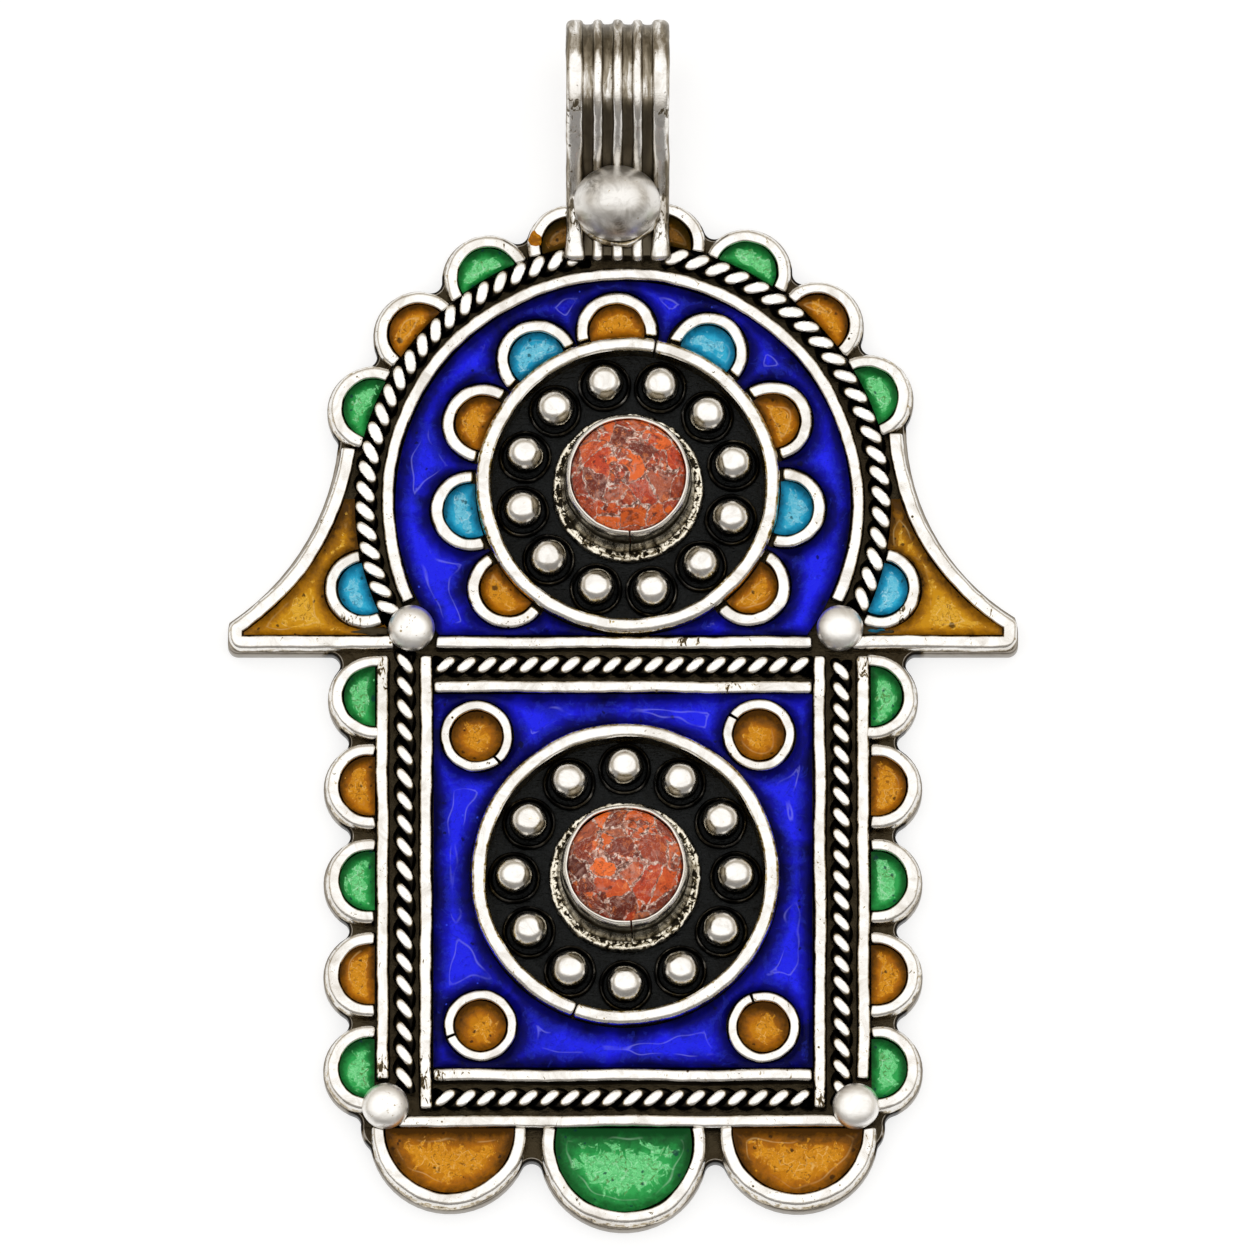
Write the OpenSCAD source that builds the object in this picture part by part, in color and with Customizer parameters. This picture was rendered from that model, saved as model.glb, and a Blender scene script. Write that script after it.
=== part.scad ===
// Hamsa pendant in silver with cell enamel and two coral cabochons.
// It lies on its back: +Z is the front face, +Y points to the bail, +X to the right.
// Heights on the face are first measured from the crossbar under the arch,
// and move_to_centre() then puts the middle of the outline on the origin.

/* [Plate] */
// Thickness of the silver back plate
plate_t = 1.4; // [1.2:0.1:1.6]
// How far the plate stands out past the wires along its edge
plate_lip = 0.2; // [0.1:0.05:0.3]
// Radius of the fillets in the notches of the plate's outline
plate_fillet = 0.8; // [0.6:0.1:1]
// Radius of the plate behind the arch, inside the notches between the scallops
arch_plate_r = 20.9; // [20.6:0.1:21.2]
// Half width of the plate behind the square, inside the notches between the side scallops
square_plate_x = 20; // [19.8:0.1:20.2]

/* [Wires] */
// Height of the wires' flat polished tops above the back
wire_top = 2.6; // [2.5:0.05:2.8]
// Width of the straight wires and the arch wire
wire_w = 1; // [0.9:0.05:1.1]
// Width of the wires bent round scallops and petals
loop_w = 0.95; // [0.85:0.05:1]
// Width of the wires bent into the rings in the square's corners
corner_ring_w = 0.75; // [0.7:0.05:0.85]
// Width of the concave wire along each wing
wing_w = 1.05; // [1:0.05:1.2]
// Depth that every wire and bead is let into the plate
weld = 0.3; // [0.2:0.05:0.4]

/* [Arch] */
// Height of the arch's centre above the crossbar
arch_y = 10.65; // [10.4:0.05:10.9]
// Radius of the arch wire
arch_r = 17.65; // [17.5:0.05:17.75]
// Lowest height that the arch wire comes down to
arch_foot = 3.2; // [3:0.1:4]
// Radius of the twisted wire round the arch
arch_rope_r = 19.35; // [19.3:0.05:19.4]

/* [Square] */
// Distance of the outer column wires from the middle
outer_x = 18; // [17.95:0.05:18.1]
// Distance of the inner column wires from the middle
inner_x = 14.75; // [14.7:0.05:14.85]
// Distance of the twisted column wires from the middle
rope_x = 16.35; // [16.3:0.05:16.4]
// Depth of the wire under the upper twisted wire
upper_rail = 3.4; // [3.35:0.05:3.5]
// Depth of the wire above the lower twisted wire
lower_rail = 33.05; // [33:0.05:33.15]
// Depth of the lowest straight wire
foot_rail = 36.55; // [36.5:0.05:36.6]

/* [Scallops] */
// Radius of the wire round a small scallop
scallop_r = 2.8; // [2.75:0.05:2.85]
// Number of scallops round the arch
arch_scallops = 8; // [8]
// Angle of the lowest scallop on the left of the arch
arch_first = 158.8; // [158:0.2:160]
// Angle from one arch scallop to the next
arch_step = 19.25; // [19:0.05:19.4]
// Distance of the arch scallops from the arch's centre
arch_reach = 20.1; // [20:0.05:20.2]

/* [Twisted wire] */
// Thickness of one strand
strand_d = 0.85; // [0.75:0.05:0.9]
// Length of one strand's visible turn
turn_l = 1.3; // [1.2:0.05:1.4]
// Lean of the turns from the wire's own line
turn_lean = 38; // [36:1:42]
// Width of the core that the turns lie on
rope_core_w = 1.1; // [1:0.05:1.2]

/* [Rosettes] */
// Height of the rosette rings' tops above the back
rosette_top = 3.3; // [3.1:0.1:3.5]
// Width of the rosette rings
rosette_w = 1.15; // [1.05:0.05:1.2]
// Number of granules in each rosette
granules = 12; // [12]
// Radius of a granule
granule_r = 1.45; // [1.4:0.05:1.5]
// Outer radius of the wire cup round a granule
cup_r = 1.85; // [1.8:0.05:1.9]
// Reach of the petals from the upper rosette's centre
petal_reach = 11.9; // [11.8:0.05:12]
// Radius of the wire round a petal
petal_r = 2.62; // [2.55:0.01:2.65]

/* [Bezels] */
// Outer radius of the bezel cups
bezel_r = 4.75; // [4.7:0.05:4.8]
// Thickness of the bezel walls
bezel_t = 0.4; // [0.35:0.05:0.45]
// Height of the bezel rims above the back
bezel_top = 6.7; // [6.4:0.1:7]
// Outer radius of the worn ring round each bezel's foot
bezel_foot_r = 5.65; // [5.5:0.05:5.8]
// Height of the coral domes above the back
coral_top = 8.3; // [8:0.1:8.6]

/* [Bail] */
// Width of the ribbed strap
bail_w = 7.75; // [7.5:0.05:8]
// Thickness of the strap over its ribs
strap_t = 0.9; // [0.85:0.05:1]
// Depth of the grooves between the ribs
groove_d = 0.35; // [0.3:0.05:0.4]
// Outer radius of the strap's bend at the top
bail_r = 4.9; // [4.7:0.1:5]
// Height of that bend's centre above the crossbar
bail_y = 42.3; // [42:0.1:43]
// Slope of the strap's front leg
bail_slope = 46; // [44:1:48]
// Height of the strap's foot above the back
foot_top = 3.4; // [3.35:0.05:3.5]
// Radius of the domed bead on the strap's foot
bead_r = 3.2; // [3:0.05:3.3]

/* [Enamel] */
// Height of the enamel's surface above the back
enamel_top = 2.05; // [1.9:0.05:2.2]
// Gap between the enamel and the wires
enamel_gap = 0.08; // [0.06:0.01:0.1]

/* [Hidden] */
$fn = 96;
eps = 0.01;
// Longer than the pendant, for shapes that only cut
far = 60;

silver = "#c9c7c3";
royal_blue = "#1414c8";
leaf_green = "#2f9e52";
honey_amber = "#bb7a15";
turquoise = "#259fc6";
coral_red = "#c64a2c";

// The side scallops from the top: distance from the middle, depth below the crossbar
side_scallops = [[18.65, 4.15], [18.95, 11], [18.95, 18.25], [18.95, 25.4], [18.95, 32.55]];

// The three large scallops along the foot: middle x, middle y, wire radius
foot_scallops = [
    [-12.95, -37.2, 5.35],
    [0.05, -38.35, 5.65],
    [13.05, -37.2, 5.4],
];

// The wings, left and right: side, and the centre x, centre y and radius of the
// concave wire, then the height where that wire ends
wings = [
    [-1, 40.05, 17.25, 19.56, 14.7],
    [1, 38.57, 16.8, 18.11, 15.9],
];
wing_root = 17;
wing_tip = 29.63;
wing_tip_w = 1.2;
wing_corner = 0.8;
wing_nose_r = 3.3;
wing_nose_y = 0.9;
// The concave wire meets the rounded nose this far in from the tip
wing_nose_in = 0.6;
// The plate shows this much beyond the concave wires
wing_lip = 0.28;
wing_scallop_r = 2.55;
wing_scallop = [19.35, 4.1];
wing_enamel_top = 11;

// The rosettes, upper and lower: middle x, middle y, outer radius of the ring,
// radius of the ring of granules, and the first granule's angle
rosettes = [
    [0.38, 11.95, 11.4, 8.1, 102.6],
    [0.15, -17.85, 11.55, 8.3, 90.2],
];
upper = rosettes[0];
lower = rosettes[1];

// The petals' angles round the upper rosette, from the lower left clockwise
petal_angles = [221, 189, 156, 125, 94, 60, 25, -8, -40];

// The four rings in the square's corners, and their seams' directions
corner_rings = [
    [-10.95, -7.2, -50],
    [10.2, -7.1, 145],
    [10.5, -29.4, 110],
    [-10.65, -29.3, 200],
];
corner_ring_r = 2.35;
seam_w = 0.18;

// The four round beads where wires meet
corner_beads = [[-15.85, 1], [16.25, 1], [-17.75, -35.5], [17.4, -35.5]];
corner_bead_r = 1.7;
// The plate's rounded corners under the two lower beads
plate_corner = [17.6, -36.8];
plate_corner_r = 2;
// Half width and depth of the plate between the side scallops and the foot scallops,
// and how far it reaches down behind the foot scallops
square_plate_y = 34.4;
foot_plate_x = 18.9;
foot_plate_y = 37.35;
foot_fill_y = 38.4;

// Ends of the straight wires, low to high or left to right
outer_column = [-33.4, -1];
inner_column = [-35.6, -1];
crossbar = [-14.1, 14.2];
foot_wire = [-16.8, 16.7];

// Twisted wire round the arch, left and right of the bail: first angle, step, turns
arch_ropes = [[100.5, 4.52, 24], [78, -4.77, 22]];
// Twisted columns: x, first y, step, turns
column_ropes = [[-rope_x, -1.6, -1.76, 19], [rope_x, -2.2, -1.6, 21]];
// Twisted rails: y, first x, step, turns
rail_ropes = [[-1.72, -13.3, 1.56, 18], [-34.8, -13.3, 1.56, 18]];
rope_z = 2.05;
rope_half = 0.7;
rope_core_top = 1.9;
arch_rope_foot = 2.6;
column_core = [-34.6, -1];
rail_core_x = 13.9;

// The strap's ribs are symmetric: two wide outer ribs and three narrow inner ones
bail_x = -0.4;
inner_rib_w = 0.75;
groove_w = 0.74;
outer_rib_w = (bail_w - 3 * inner_rib_w - 4 * groove_w) / 2;
rib_depth = strap_t - 0.1;
foot_front = 29.2;
foot_back = 34.9;
back_leg_y = 30;
overlap = 0.05;
bail_gap = 0.1;
bead_at = [-0.45, 33.12, 4.3];
// The solder collar that holds the bead: middle x, middle y, radius, top
bead_collar = [-0.45, 33.4, 3.25, 3.7];

// The granules and the wire cups round them
granule_z = 2.5;
cup_w = 0.36;
cup_top = 1.95;
bezel_foot_top = 2;
coral_gap = 0.1;
coral_edge = 0.3;

weld_z = plate_t - weld;
rope_outer = arch_rope_r + rope_half;
loop_out = loop_w / 2;
loop_in = loop_w / 2 + enamel_gap;
scallop_plate_r = scallop_r + loop_out + plate_lip;
bottom_y = foot_scallops[1][1] - foot_scallops[1][2] - loop_out - plate_lip;
top_y = bail_y + bail_r;
middle_y = (top_y + bottom_y) / 2;

scallop_names = [for (i = [1:arch_scallops]) str("enamel_scallop_", i)];
petal_names = [for (i = [1:len(petal_angles)]) str("enamel_petal_", i)];
side_names = ["left", "right"];
side_scallop_names = [
    for (side = side_names, i = [1:len(side_scallops)]) str("enamel_", side, "_", i)
];
wing_names = [for (side = side_names) str("enamel_wing_", side)];
wing_scallop_names = [for (side = side_names) str("enamel_wing_scallop_", side)];
foot_names = ["enamel_foot_left", "enamel_foot_middle", "enamel_foot_right"];
corner_names = [for (i = [1:len(corner_rings)]) str("enamel_corner_", i)];
coral_names = ["coral_upper", "coral_lower"];

function polar(reach, angle) = [reach * cos(angle), reach * sin(angle)];
function arch_scallop_at(i) =
    [0, arch_y] + polar(arch_reach, arch_first - i * arch_step);
function petal_at(i) = [upper[0], upper[1]] + polar(petal_reach, petal_angles[i]);
function side_scallop_at(side, i) = [side * side_scallops[i][0], -side_scallops[i][1]];
function foot_scallop_at(i) = [foot_scallops[i][0], foot_scallops[i][1]];
function foot_plate_r(i) = foot_scallops[i][2] + loop_out + plate_lip;
function is_even(i) = i % 2 == 0;

// The centre of a fillet that touches two discs, on the left of the way from a to b;
// a disc with a negative radius is touched from inside
function fillet_at(a, ra, b, rb) =
    let (
        way = b - a,
        apart = norm(way),
        along = (apart ^ 2 + (ra + plate_fillet) ^ 2 - (rb + plate_fillet) ^ 2) / (2 * apart),
        aside = sqrt((ra + plate_fillet) ^ 2 - along ^ 2)
    )
    a + way * along / apart + [-way[1], way[0]] * aside / apart;

// Where a wing's plate ends above, drawn for the right-hand side: its edge is the inside of a
// circle, and a fillet leads on from there to the lowest scallop of the arch
function wing_plate_r(wing) = wing[3] - wing_w / 2 - wing_lip;
function wing_scallop_at(wing) =
    let (at = arch_scallop_at(wing[0] < 0 ? 0 : arch_scallops - 1)) [abs(at[0]), at[1]];
function wing_fillet_at(wing) =
    fillet_at([wing[1], wing[2]], -wing_plate_r(wing), wing_scallop_at(wing), scallop_plate_r);
function wing_top(wing) =
    let (centre = [wing[1], wing[2]], way = wing_fillet_at(wing) - centre)
    centre + way / norm(way) * wing_plate_r(wing);

module move_to_centre() {
    translate([0, -middle_y, 0]) children();
}

module from_to(z0, z1) {
    translate([0, 0, z0]) linear_extrude(z1 - z0) children();
}

module ring_2d(r, w) {
    difference() {
        circle(r + w / 2);
        circle(r - w / 2);
    }
}

module rect_2d(x0, x1, y0, y1) {
    translate([x0, y0]) square([x1 - x0, y1 - y0]);
}

// Everything outside the twisted wire round the arch
module outside_rope(gap) {
    difference() {
        children();
        translate([0, arch_y]) circle(rope_outer + gap);
    }
}

// Puts a shape drawn for the right-hand side on either side
module on_side(side) {
    mirror([side < 0 ? 1 : 0, 0]) children();
}

// The area between a wing's concave wire and the arch, out to the rounded tip
module wing_area(wing, top, lip, arc_lip) {
    tip = wing_tip - plate_lip + lip;
    low = -wire_w / 2 - lip;
    on_side(wing[0]) difference() {
        intersection() {
            union() {
                rect_2d(wing_root, tip - wing_corner, low, top);
                rect_2d(tip - wing_corner - eps, tip, low + wing_corner, top);
                translate([tip - wing_corner, low + wing_corner]) circle(wing_corner);
            }
            union() {
                rect_2d(0, tip - wing_nose_in, -far, far);
                rect_2d(0, far, -far, wing_nose_y);
                translate([tip - wing_nose_r, wing_nose_y]) circle(wing_nose_r);
            }
        }
        translate([wing[1], wing[2]]) circle(wing[3] - wing_w / 2 - arc_lip);
    }
}

module wing_wire(wing) {
    intersection() {
        wing_area(wing, wing[4], 0, 0);
        on_side(wing[0]) {
            translate([wing[1], wing[2]]) ring_2d(wing[3], wing_w);
            rect_2d(wing_root, wing_tip, -wire_w / 2, wire_w / 2);
            rect_2d(wing_tip - wing_tip_w, wing_tip, -wire_w / 2, far);
        }
    }
}

// The filleted web between two discs of the plate, on the left of the way from a to b
module web(a, ra, b, rb) {
    middle = fillet_at(a, ra, b, rb);
    difference() {
        polygon([a, middle, b]);
        translate(middle) circle(plate_fillet + eps);
    }
}

// The filleted web between a wing's upper end and the lowest scallop of the arch
module wing_top_web(wing) {
    at = wing_scallop_at(wing);
    middle = wing_fillet_at(wing);
    top = wing_top(wing);
    on_side(wing[0]) difference() {
        polygon([at, middle, top, [at[0], top[1]]]);
        translate(middle) circle(plate_fillet + eps);
    }
}

// The filleted web between the wing's lower edge and the highest side scallop
module wing_web() {
    low = -wire_w / 2 - plate_lip;
    at = side_scallop_at(1, 0);
    drop = low - plate_fillet - at[1];
    middle = [at[0] + sqrt((scallop_plate_r + plate_fillet) ^ 2 - drop ^ 2), at[1] + drop];
    difference() {
        polygon([at, middle, [middle[0], 0], [at[0], 0]]);
        translate(middle) circle(plate_fillet + eps);
    }
}

module plate_webs() {
    for (i = [1:arch_scallops - 1])
        web(arch_scallop_at(i - 1), scallop_plate_r, arch_scallop_at(i), scallop_plate_r);
    for (i = [1:len(foot_scallops) - 1])
        web(foot_scallop_at(i), foot_plate_r(i), foot_scallop_at(i - 1), foot_plate_r(i - 1));
    for (side = [-1, 1]) on_side(side) {
        foot = side < 0 ? 0 : 2;
        for (i = [1:len(side_scallops) - 1])
            web(side_scallop_at(1, i - 1), scallop_plate_r, side_scallop_at(1, i), scallop_plate_r);
        web(side_scallop_at(1, len(side_scallops) - 1), scallop_plate_r,
            plate_corner, plate_corner_r);
        web(plate_corner, plate_corner_r,
            [abs(foot_scallops[foot][0]), foot_scallops[foot][1]], foot_plate_r(foot));
        wing_web();
    }
    for (wing = wings) wing_top_web(wing);
}

module plate_outline() {
    rect_2d(-square_plate_x, square_plate_x, -square_plate_y, wire_w / 2);
    rect_2d(-foot_plate_x, foot_plate_x, -foot_plate_y, -square_plate_y + eps);
    rect_2d(foot_scallops[0][0], foot_scallops[2][0], -foot_fill_y, -foot_rail);
    translate([0, arch_y]) circle(arch_plate_r);
    for (i = [0:arch_scallops - 1]) translate(arch_scallop_at(i)) circle(scallop_plate_r);
    for (side = [-1, 1], i = [0:len(side_scallops) - 1])
        translate(side_scallop_at(side, i)) circle(scallop_plate_r);
    for (i = [0:len(foot_scallops) - 1]) translate(foot_scallop_at(i)) circle(foot_plate_r(i));
    for (side = [-1, 1])
        on_side(side) translate(plate_corner) circle(plate_corner_r);
    for (wing = wings) wing_area(wing, wing_top(wing)[1], plate_lip, wing_lip);
    plate_webs();
}

module straight_wires() {
    for (side = [-1, 1]) on_side(side) {
        rect_2d(outer_x - wire_w / 2, outer_x + wire_w / 2, outer_column[0], outer_column[1]);
        rect_2d(inner_x - wire_w / 2, inner_x + wire_w / 2, inner_column[0], inner_column[1]);
    }
    rect_2d(crossbar[0], crossbar[1], -wire_w / 2, wire_w / 2);
    for (y = [upper_rail, lower_rail])
        rect_2d(-inner_x, inner_x, -y - wire_w / 2, -y + wire_w / 2);
    rect_2d(foot_wire[0], foot_wire[1], -foot_rail - wire_w / 2, -foot_rail + wire_w / 2);
}

module arch_wire() {
    intersection() {
        translate([0, arch_y]) ring_2d(arch_r, wire_w);
        rect_2d(-far, far, arch_foot, far);
    }
}

module scallop_wires() {
    outside_rope(0) {
        for (i = [0:arch_scallops - 1])
            translate(arch_scallop_at(i)) ring_2d(scallop_r, loop_w);
        for (side = [-1, 1])
            translate([side * wing_scallop[0], wing_scallop[1]])
                ring_2d(wing_scallop_r, loop_w);
    }
    for (side = [-1, 1], i = [0:len(side_scallops) - 1])
        intersection() {
            translate(side_scallop_at(side, i)) ring_2d(scallop_r, loop_w);
            on_side(side) rect_2d(outer_x, far, -far, 0);
        }
    for (s = foot_scallops)
        intersection() {
            translate([s[0], s[1]]) ring_2d(s[2], loop_w);
            rect_2d(-far, far, -far, -foot_rail);
        }
}

module petal_wires() {
    difference() {
        for (i = [0:len(petal_angles) - 1]) translate(petal_at(i)) ring_2d(petal_r, loop_w);
        translate([upper[0], upper[1]]) circle(upper[2] - rosette_w / 2);
        rect_2d(-far, far, -far, 0);
    }
}

module corner_ring(ring) {
    translate([ring[0], ring[1]]) difference() {
        ring_2d(corner_ring_r, corner_ring_w);
        rotate(ring[2]) translate([corner_ring_r - corner_ring_w, -seam_w / 2])
            square([2 * corner_ring_w, seam_w]);
    }
}

module cell_walls() {
    from_to(weld_z, wire_top) {
        straight_wires();
        arch_wire();
        scallop_wires();
        petal_wires();
        for (wing = wings) wing_wire(wing);
        for (ring = corner_rings) corner_ring(ring);
    }
}

// One turn of a strand, seen as a slanted bead
module turn(at, along) {
    translate([at[0], at[1], rope_z]) rotate([0, 0, along + turn_lean])
        rotate([0, 90, 0]) cylinder(d = strand_d, h = turn_l, center = true);
}

module rope_cores() {
    from_to(weld_z, rope_core_top) {
        difference() {
            translate([0, arch_y]) ring_2d(arch_rope_r, rope_core_w);
            rect_2d(-far, far, -far, arch_rope_foot);
            translate([bail_x, 0]) rect_2d(-bail_w / 2 - bail_gap, bail_w / 2 + bail_gap, 0, far);
        }
        for (rope = column_ropes)
            translate([rope[0], 0])
                rect_2d(-rope_core_w / 2, rope_core_w / 2, column_core[0], column_core[1]);
        for (rope = rail_ropes)
            translate([0, rope[0]])
                rect_2d(-rail_core_x, rail_core_x, -rope_core_w / 2, rope_core_w / 2);
    }
}

module twisted_wires() {
    rope_cores();
    for (rope = arch_ropes, i = [0:rope[2] - 1])
        let (a = rope[0] + i * rope[1])
            turn([0, arch_y] + polar(arch_rope_r, a), a - 90);
    for (rope = column_ropes, i = [0:rope[3] - 1]) turn([rope[0], rope[1] + i * rope[2]], 90);
    for (rope = rail_ropes, i = [0:rope[3] - 1]) turn([rope[1] + i * rope[2], rope[0]], 0);
}

module granule() {
    translate([0, 0, granule_z]) sphere(granule_r);
    from_to(weld_z, cup_top) ring_2d(cup_r - cup_w / 2, cup_w);
}

module bezel() {
    from_to(weld_z, bezel_top) ring_2d(bezel_r - bezel_t / 2, bezel_t);
    from_to(weld_z, bezel_foot_top)
        ring_2d((bezel_foot_r + bezel_r - bezel_t / 2) / 2, bezel_foot_r - bezel_r + bezel_t / 2);
}

module rosette(r) {
    translate([r[0], r[1], 0]) {
        from_to(weld_z, rosette_top) ring_2d(r[2] - rosette_w / 2, rosette_w);
        for (i = [0:granules - 1]) translate(polar(r[3], r[4] - i * 360 / granules)) granule();
        bezel();
    }
}

// The strap's side view, y across and z up, between two depths under its outer face
module strap_side(d0, d1) {
    t = d1 - d0;
    drop = bail_r + bail_r * cos(bail_slope) - foot_top;
    leg = drop / sin(bail_slope) + overlap;
    translate([bail_y, bail_r]) {
        difference() {
            ring_2d(bail_r - (d0 + d1) / 2, t);
            polygon([[0, 0], polar(far, 90 + bail_slope), [-far, 0], [-far, -far], [0, -far]]);
        }
        rotate(bail_slope) translate([-leg, bail_r - d1]) square([leg + eps, t]);
    }
    rect_2d(foot_front + d0 / 2, foot_back - d0, foot_top - d1, foot_top - d0);
    rect_2d(foot_front + d0 / 2, foot_front + strap_t, weld_z, foot_top - d0);
    rect_2d(back_leg_y, bail_y + eps, d0, d1);
}

module strap_slab(x0, x1, d0, d1) {
    translate([x0, 0, 0]) rotate([90, 0, 90]) linear_extrude(x1 - x0) strap_side(d0, d1);
}

module bail() {
    left = bail_x - bail_w / 2;
    foot_low = foot_top - rib_depth;
    strap_slab(left, left + bail_w, groove_d, strap_t);
    strap_slab(left, left + outer_rib_w, 0, rib_depth);
    strap_slab(left + bail_w - outer_rib_w, left + bail_w, 0, rib_depth);
    for (i = [0:2])
        let (x = left + outer_rib_w + groove_w + i * (inner_rib_w + groove_w))
            strap_slab(x, x + inner_rib_w, 0, rib_depth);
    difference() {
        translate(bead_at) sphere(bead_r);
        translate([bead_at[0], bead_at[1], 0]) cylinder(r = 2 * bead_r, h = foot_low);
    }
    from_to(foot_low, bead_collar[3])
        translate([bead_collar[0], bead_collar[1]]) circle(bead_collar[2]);
}

module silver_body() {
    color(silver) move_to_centre() {
        from_to(0, plate_t) plate_outline();
        cell_walls();
        twisted_wires();
        for (r = rosettes) rosette(r);
        for (b = corner_beads) translate([b[0], b[1], wire_top]) sphere(corner_bead_r);
        bail();
    }
}

// A pool of enamel lying on the plate
module pool(tint) {
    color(tint) move_to_centre() from_to(plate_t, enamel_top) children();
}

module enamel_arch() {
    pool(royal_blue) difference() {
        translate([0, arch_y]) circle(arch_r - wire_w / 2 - enamel_gap);
        rect_2d(-far, far, -far, wire_w / 2 + enamel_gap);
        translate([upper[0], upper[1]]) circle(upper[2] + enamel_gap);
        for (i = [0:len(petal_angles) - 1])
            translate(petal_at(i)) circle(petal_r + loop_in);
        for (b = [corner_beads[0], corner_beads[1]])
            translate([b[0], b[1]]) circle(corner_bead_r + enamel_gap);
    }
}

module enamel_square() {
    side = inner_x - wire_w / 2 - enamel_gap;
    pool(royal_blue) difference() {
        rect_2d(-side, side, -lower_rail + wire_w / 2 + enamel_gap,
            -upper_rail - wire_w / 2 - enamel_gap);
        translate([lower[0], lower[1]]) circle(lower[2] + enamel_gap);
        for (ring = corner_rings)
            translate([ring[0], ring[1]])
                circle(corner_ring_r + corner_ring_w / 2 + enamel_gap);
    }
}

module enamel_scallop(i) {
    mirrored = i < arch_scallops / 2 ? i : arch_scallops - 1 - i;
    pool(is_even(mirrored) ? leaf_green : honey_amber)
        outside_rope(enamel_gap) translate(arch_scallop_at(i)) circle(scallop_r - loop_in);
}

module enamel_petal(i) {
    pool(is_even(i) ? honey_amber : turquoise) difference() {
        translate(petal_at(i)) circle(petal_r - loop_in);
        translate([upper[0], upper[1]]) circle(upper[2] + enamel_gap);
    }
}

module enamel_side(side, i) {
    edge = outer_x + wire_w / 2 + enamel_gap;
    pool(is_even(i) ? leaf_green : honey_amber) intersection() {
        translate(side_scallop_at(side, i)) circle(scallop_r - loop_in);
        on_side(side) rect_2d(edge, far, -far, 0);
    }
}

module enamel_wing(wing) {
    pool(honey_amber) difference() {
        on_side(wing[0]) difference() {
            rect_2d(wing_root, wing_tip - wing_tip_w, wire_w / 2 + enamel_gap, wing_enamel_top);
            translate([wing[1], wing[2]]) circle(wing[3] + wing_w / 2 + enamel_gap);
            translate(wing_scallop) circle(wing_scallop_r + loop_in);
        }
        translate([0, arch_y]) circle(rope_outer + enamel_gap);
    }
}

module enamel_wing_scallop(side) {
    pool(turquoise) outside_rope(enamel_gap)
        translate([side * wing_scallop[0], wing_scallop[1]]) circle(wing_scallop_r - loop_in);
}

module enamel_foot(i) {
    s = foot_scallops[i];
    pool(is_even(i) ? honey_amber : leaf_green) intersection() {
        translate([s[0], s[1]]) circle(s[2] - loop_in);
        rect_2d(-far, far, -far, -foot_rail - wire_w / 2 - enamel_gap);
    }
}

module enamel_corner(i) {
    pool(honey_amber) translate([corner_rings[i][0], corner_rings[i][1]])
        circle(corner_ring_r - corner_ring_w / 2 - enamel_gap);
}

// A cabochon: a round post inside the bezel with a low dome above the rim
module coral(r) {
    wall = bezel_r - bezel_t - coral_gap;
    rise = coral_top - bezel_top + coral_edge;
    dome_r = (wall * wall + rise * rise) / (2 * rise);
    color(coral_red) move_to_centre() translate([r[0], r[1], 0]) intersection() {
        from_to(plate_t + coral_gap, coral_top + eps) circle(wall);
        translate([0, 0, coral_top - dome_r]) sphere(dome_r);
    }
}

silver_body();
enamel_arch();
enamel_square();
for (i = [0:arch_scallops - 1])
    enamel_scallop(i);
for (i = [0:len(petal_angles) - 1])
    enamel_petal(i);
for (side = [0, 1], i = [0:len(side_scallops) - 1])
    enamel_side(2 * side - 1, i);
for (i = [0, 1])
    enamel_wing(wings[i]);
for (i = [0, 1])
    enamel_wing_scallop(2 * i - 1);
for (i = [0:len(foot_scallops) - 1])
    enamel_foot(i);
for (i = [0:len(corner_rings) - 1])
    enamel_corner(i);
for (i = [0, 1])
    coral(rosettes[i]);
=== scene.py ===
import math
import bmesh
import bpy
from mathutils import Matrix, Vector, kdtree, noise


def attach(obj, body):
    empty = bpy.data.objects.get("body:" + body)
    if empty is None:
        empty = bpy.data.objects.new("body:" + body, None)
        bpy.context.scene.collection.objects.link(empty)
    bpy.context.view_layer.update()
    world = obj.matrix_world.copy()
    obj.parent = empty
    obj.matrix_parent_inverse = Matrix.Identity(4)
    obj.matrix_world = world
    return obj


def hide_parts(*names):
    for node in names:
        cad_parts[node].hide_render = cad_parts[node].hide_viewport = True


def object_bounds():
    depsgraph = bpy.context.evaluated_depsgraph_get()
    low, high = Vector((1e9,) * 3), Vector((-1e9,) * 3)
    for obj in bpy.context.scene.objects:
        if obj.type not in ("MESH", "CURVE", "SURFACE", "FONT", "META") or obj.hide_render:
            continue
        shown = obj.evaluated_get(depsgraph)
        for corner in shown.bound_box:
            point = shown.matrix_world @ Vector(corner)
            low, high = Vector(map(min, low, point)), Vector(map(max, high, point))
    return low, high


# Hamsa pendant in silver with cell enamel and coral, lying on its back.
# Sizes are in millimetres, and y is counted from the crossbar under the arch.
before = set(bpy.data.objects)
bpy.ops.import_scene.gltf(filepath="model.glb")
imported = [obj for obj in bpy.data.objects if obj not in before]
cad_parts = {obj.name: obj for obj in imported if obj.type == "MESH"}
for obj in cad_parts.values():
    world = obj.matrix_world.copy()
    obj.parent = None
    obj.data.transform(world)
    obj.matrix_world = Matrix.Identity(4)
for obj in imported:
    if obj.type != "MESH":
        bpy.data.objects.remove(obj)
cadLow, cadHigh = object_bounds()
mm = 0.001
bailTop = 47.2
middleY = bailTop - cadHigh.y / mm
# so that the dents are the same in every run
noise.seed_set(3)


def polar(reach, degrees):
    angle = math.radians(degrees)
    return Vector((reach * math.cos(angle), reach * math.sin(angle), 0))


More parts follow.
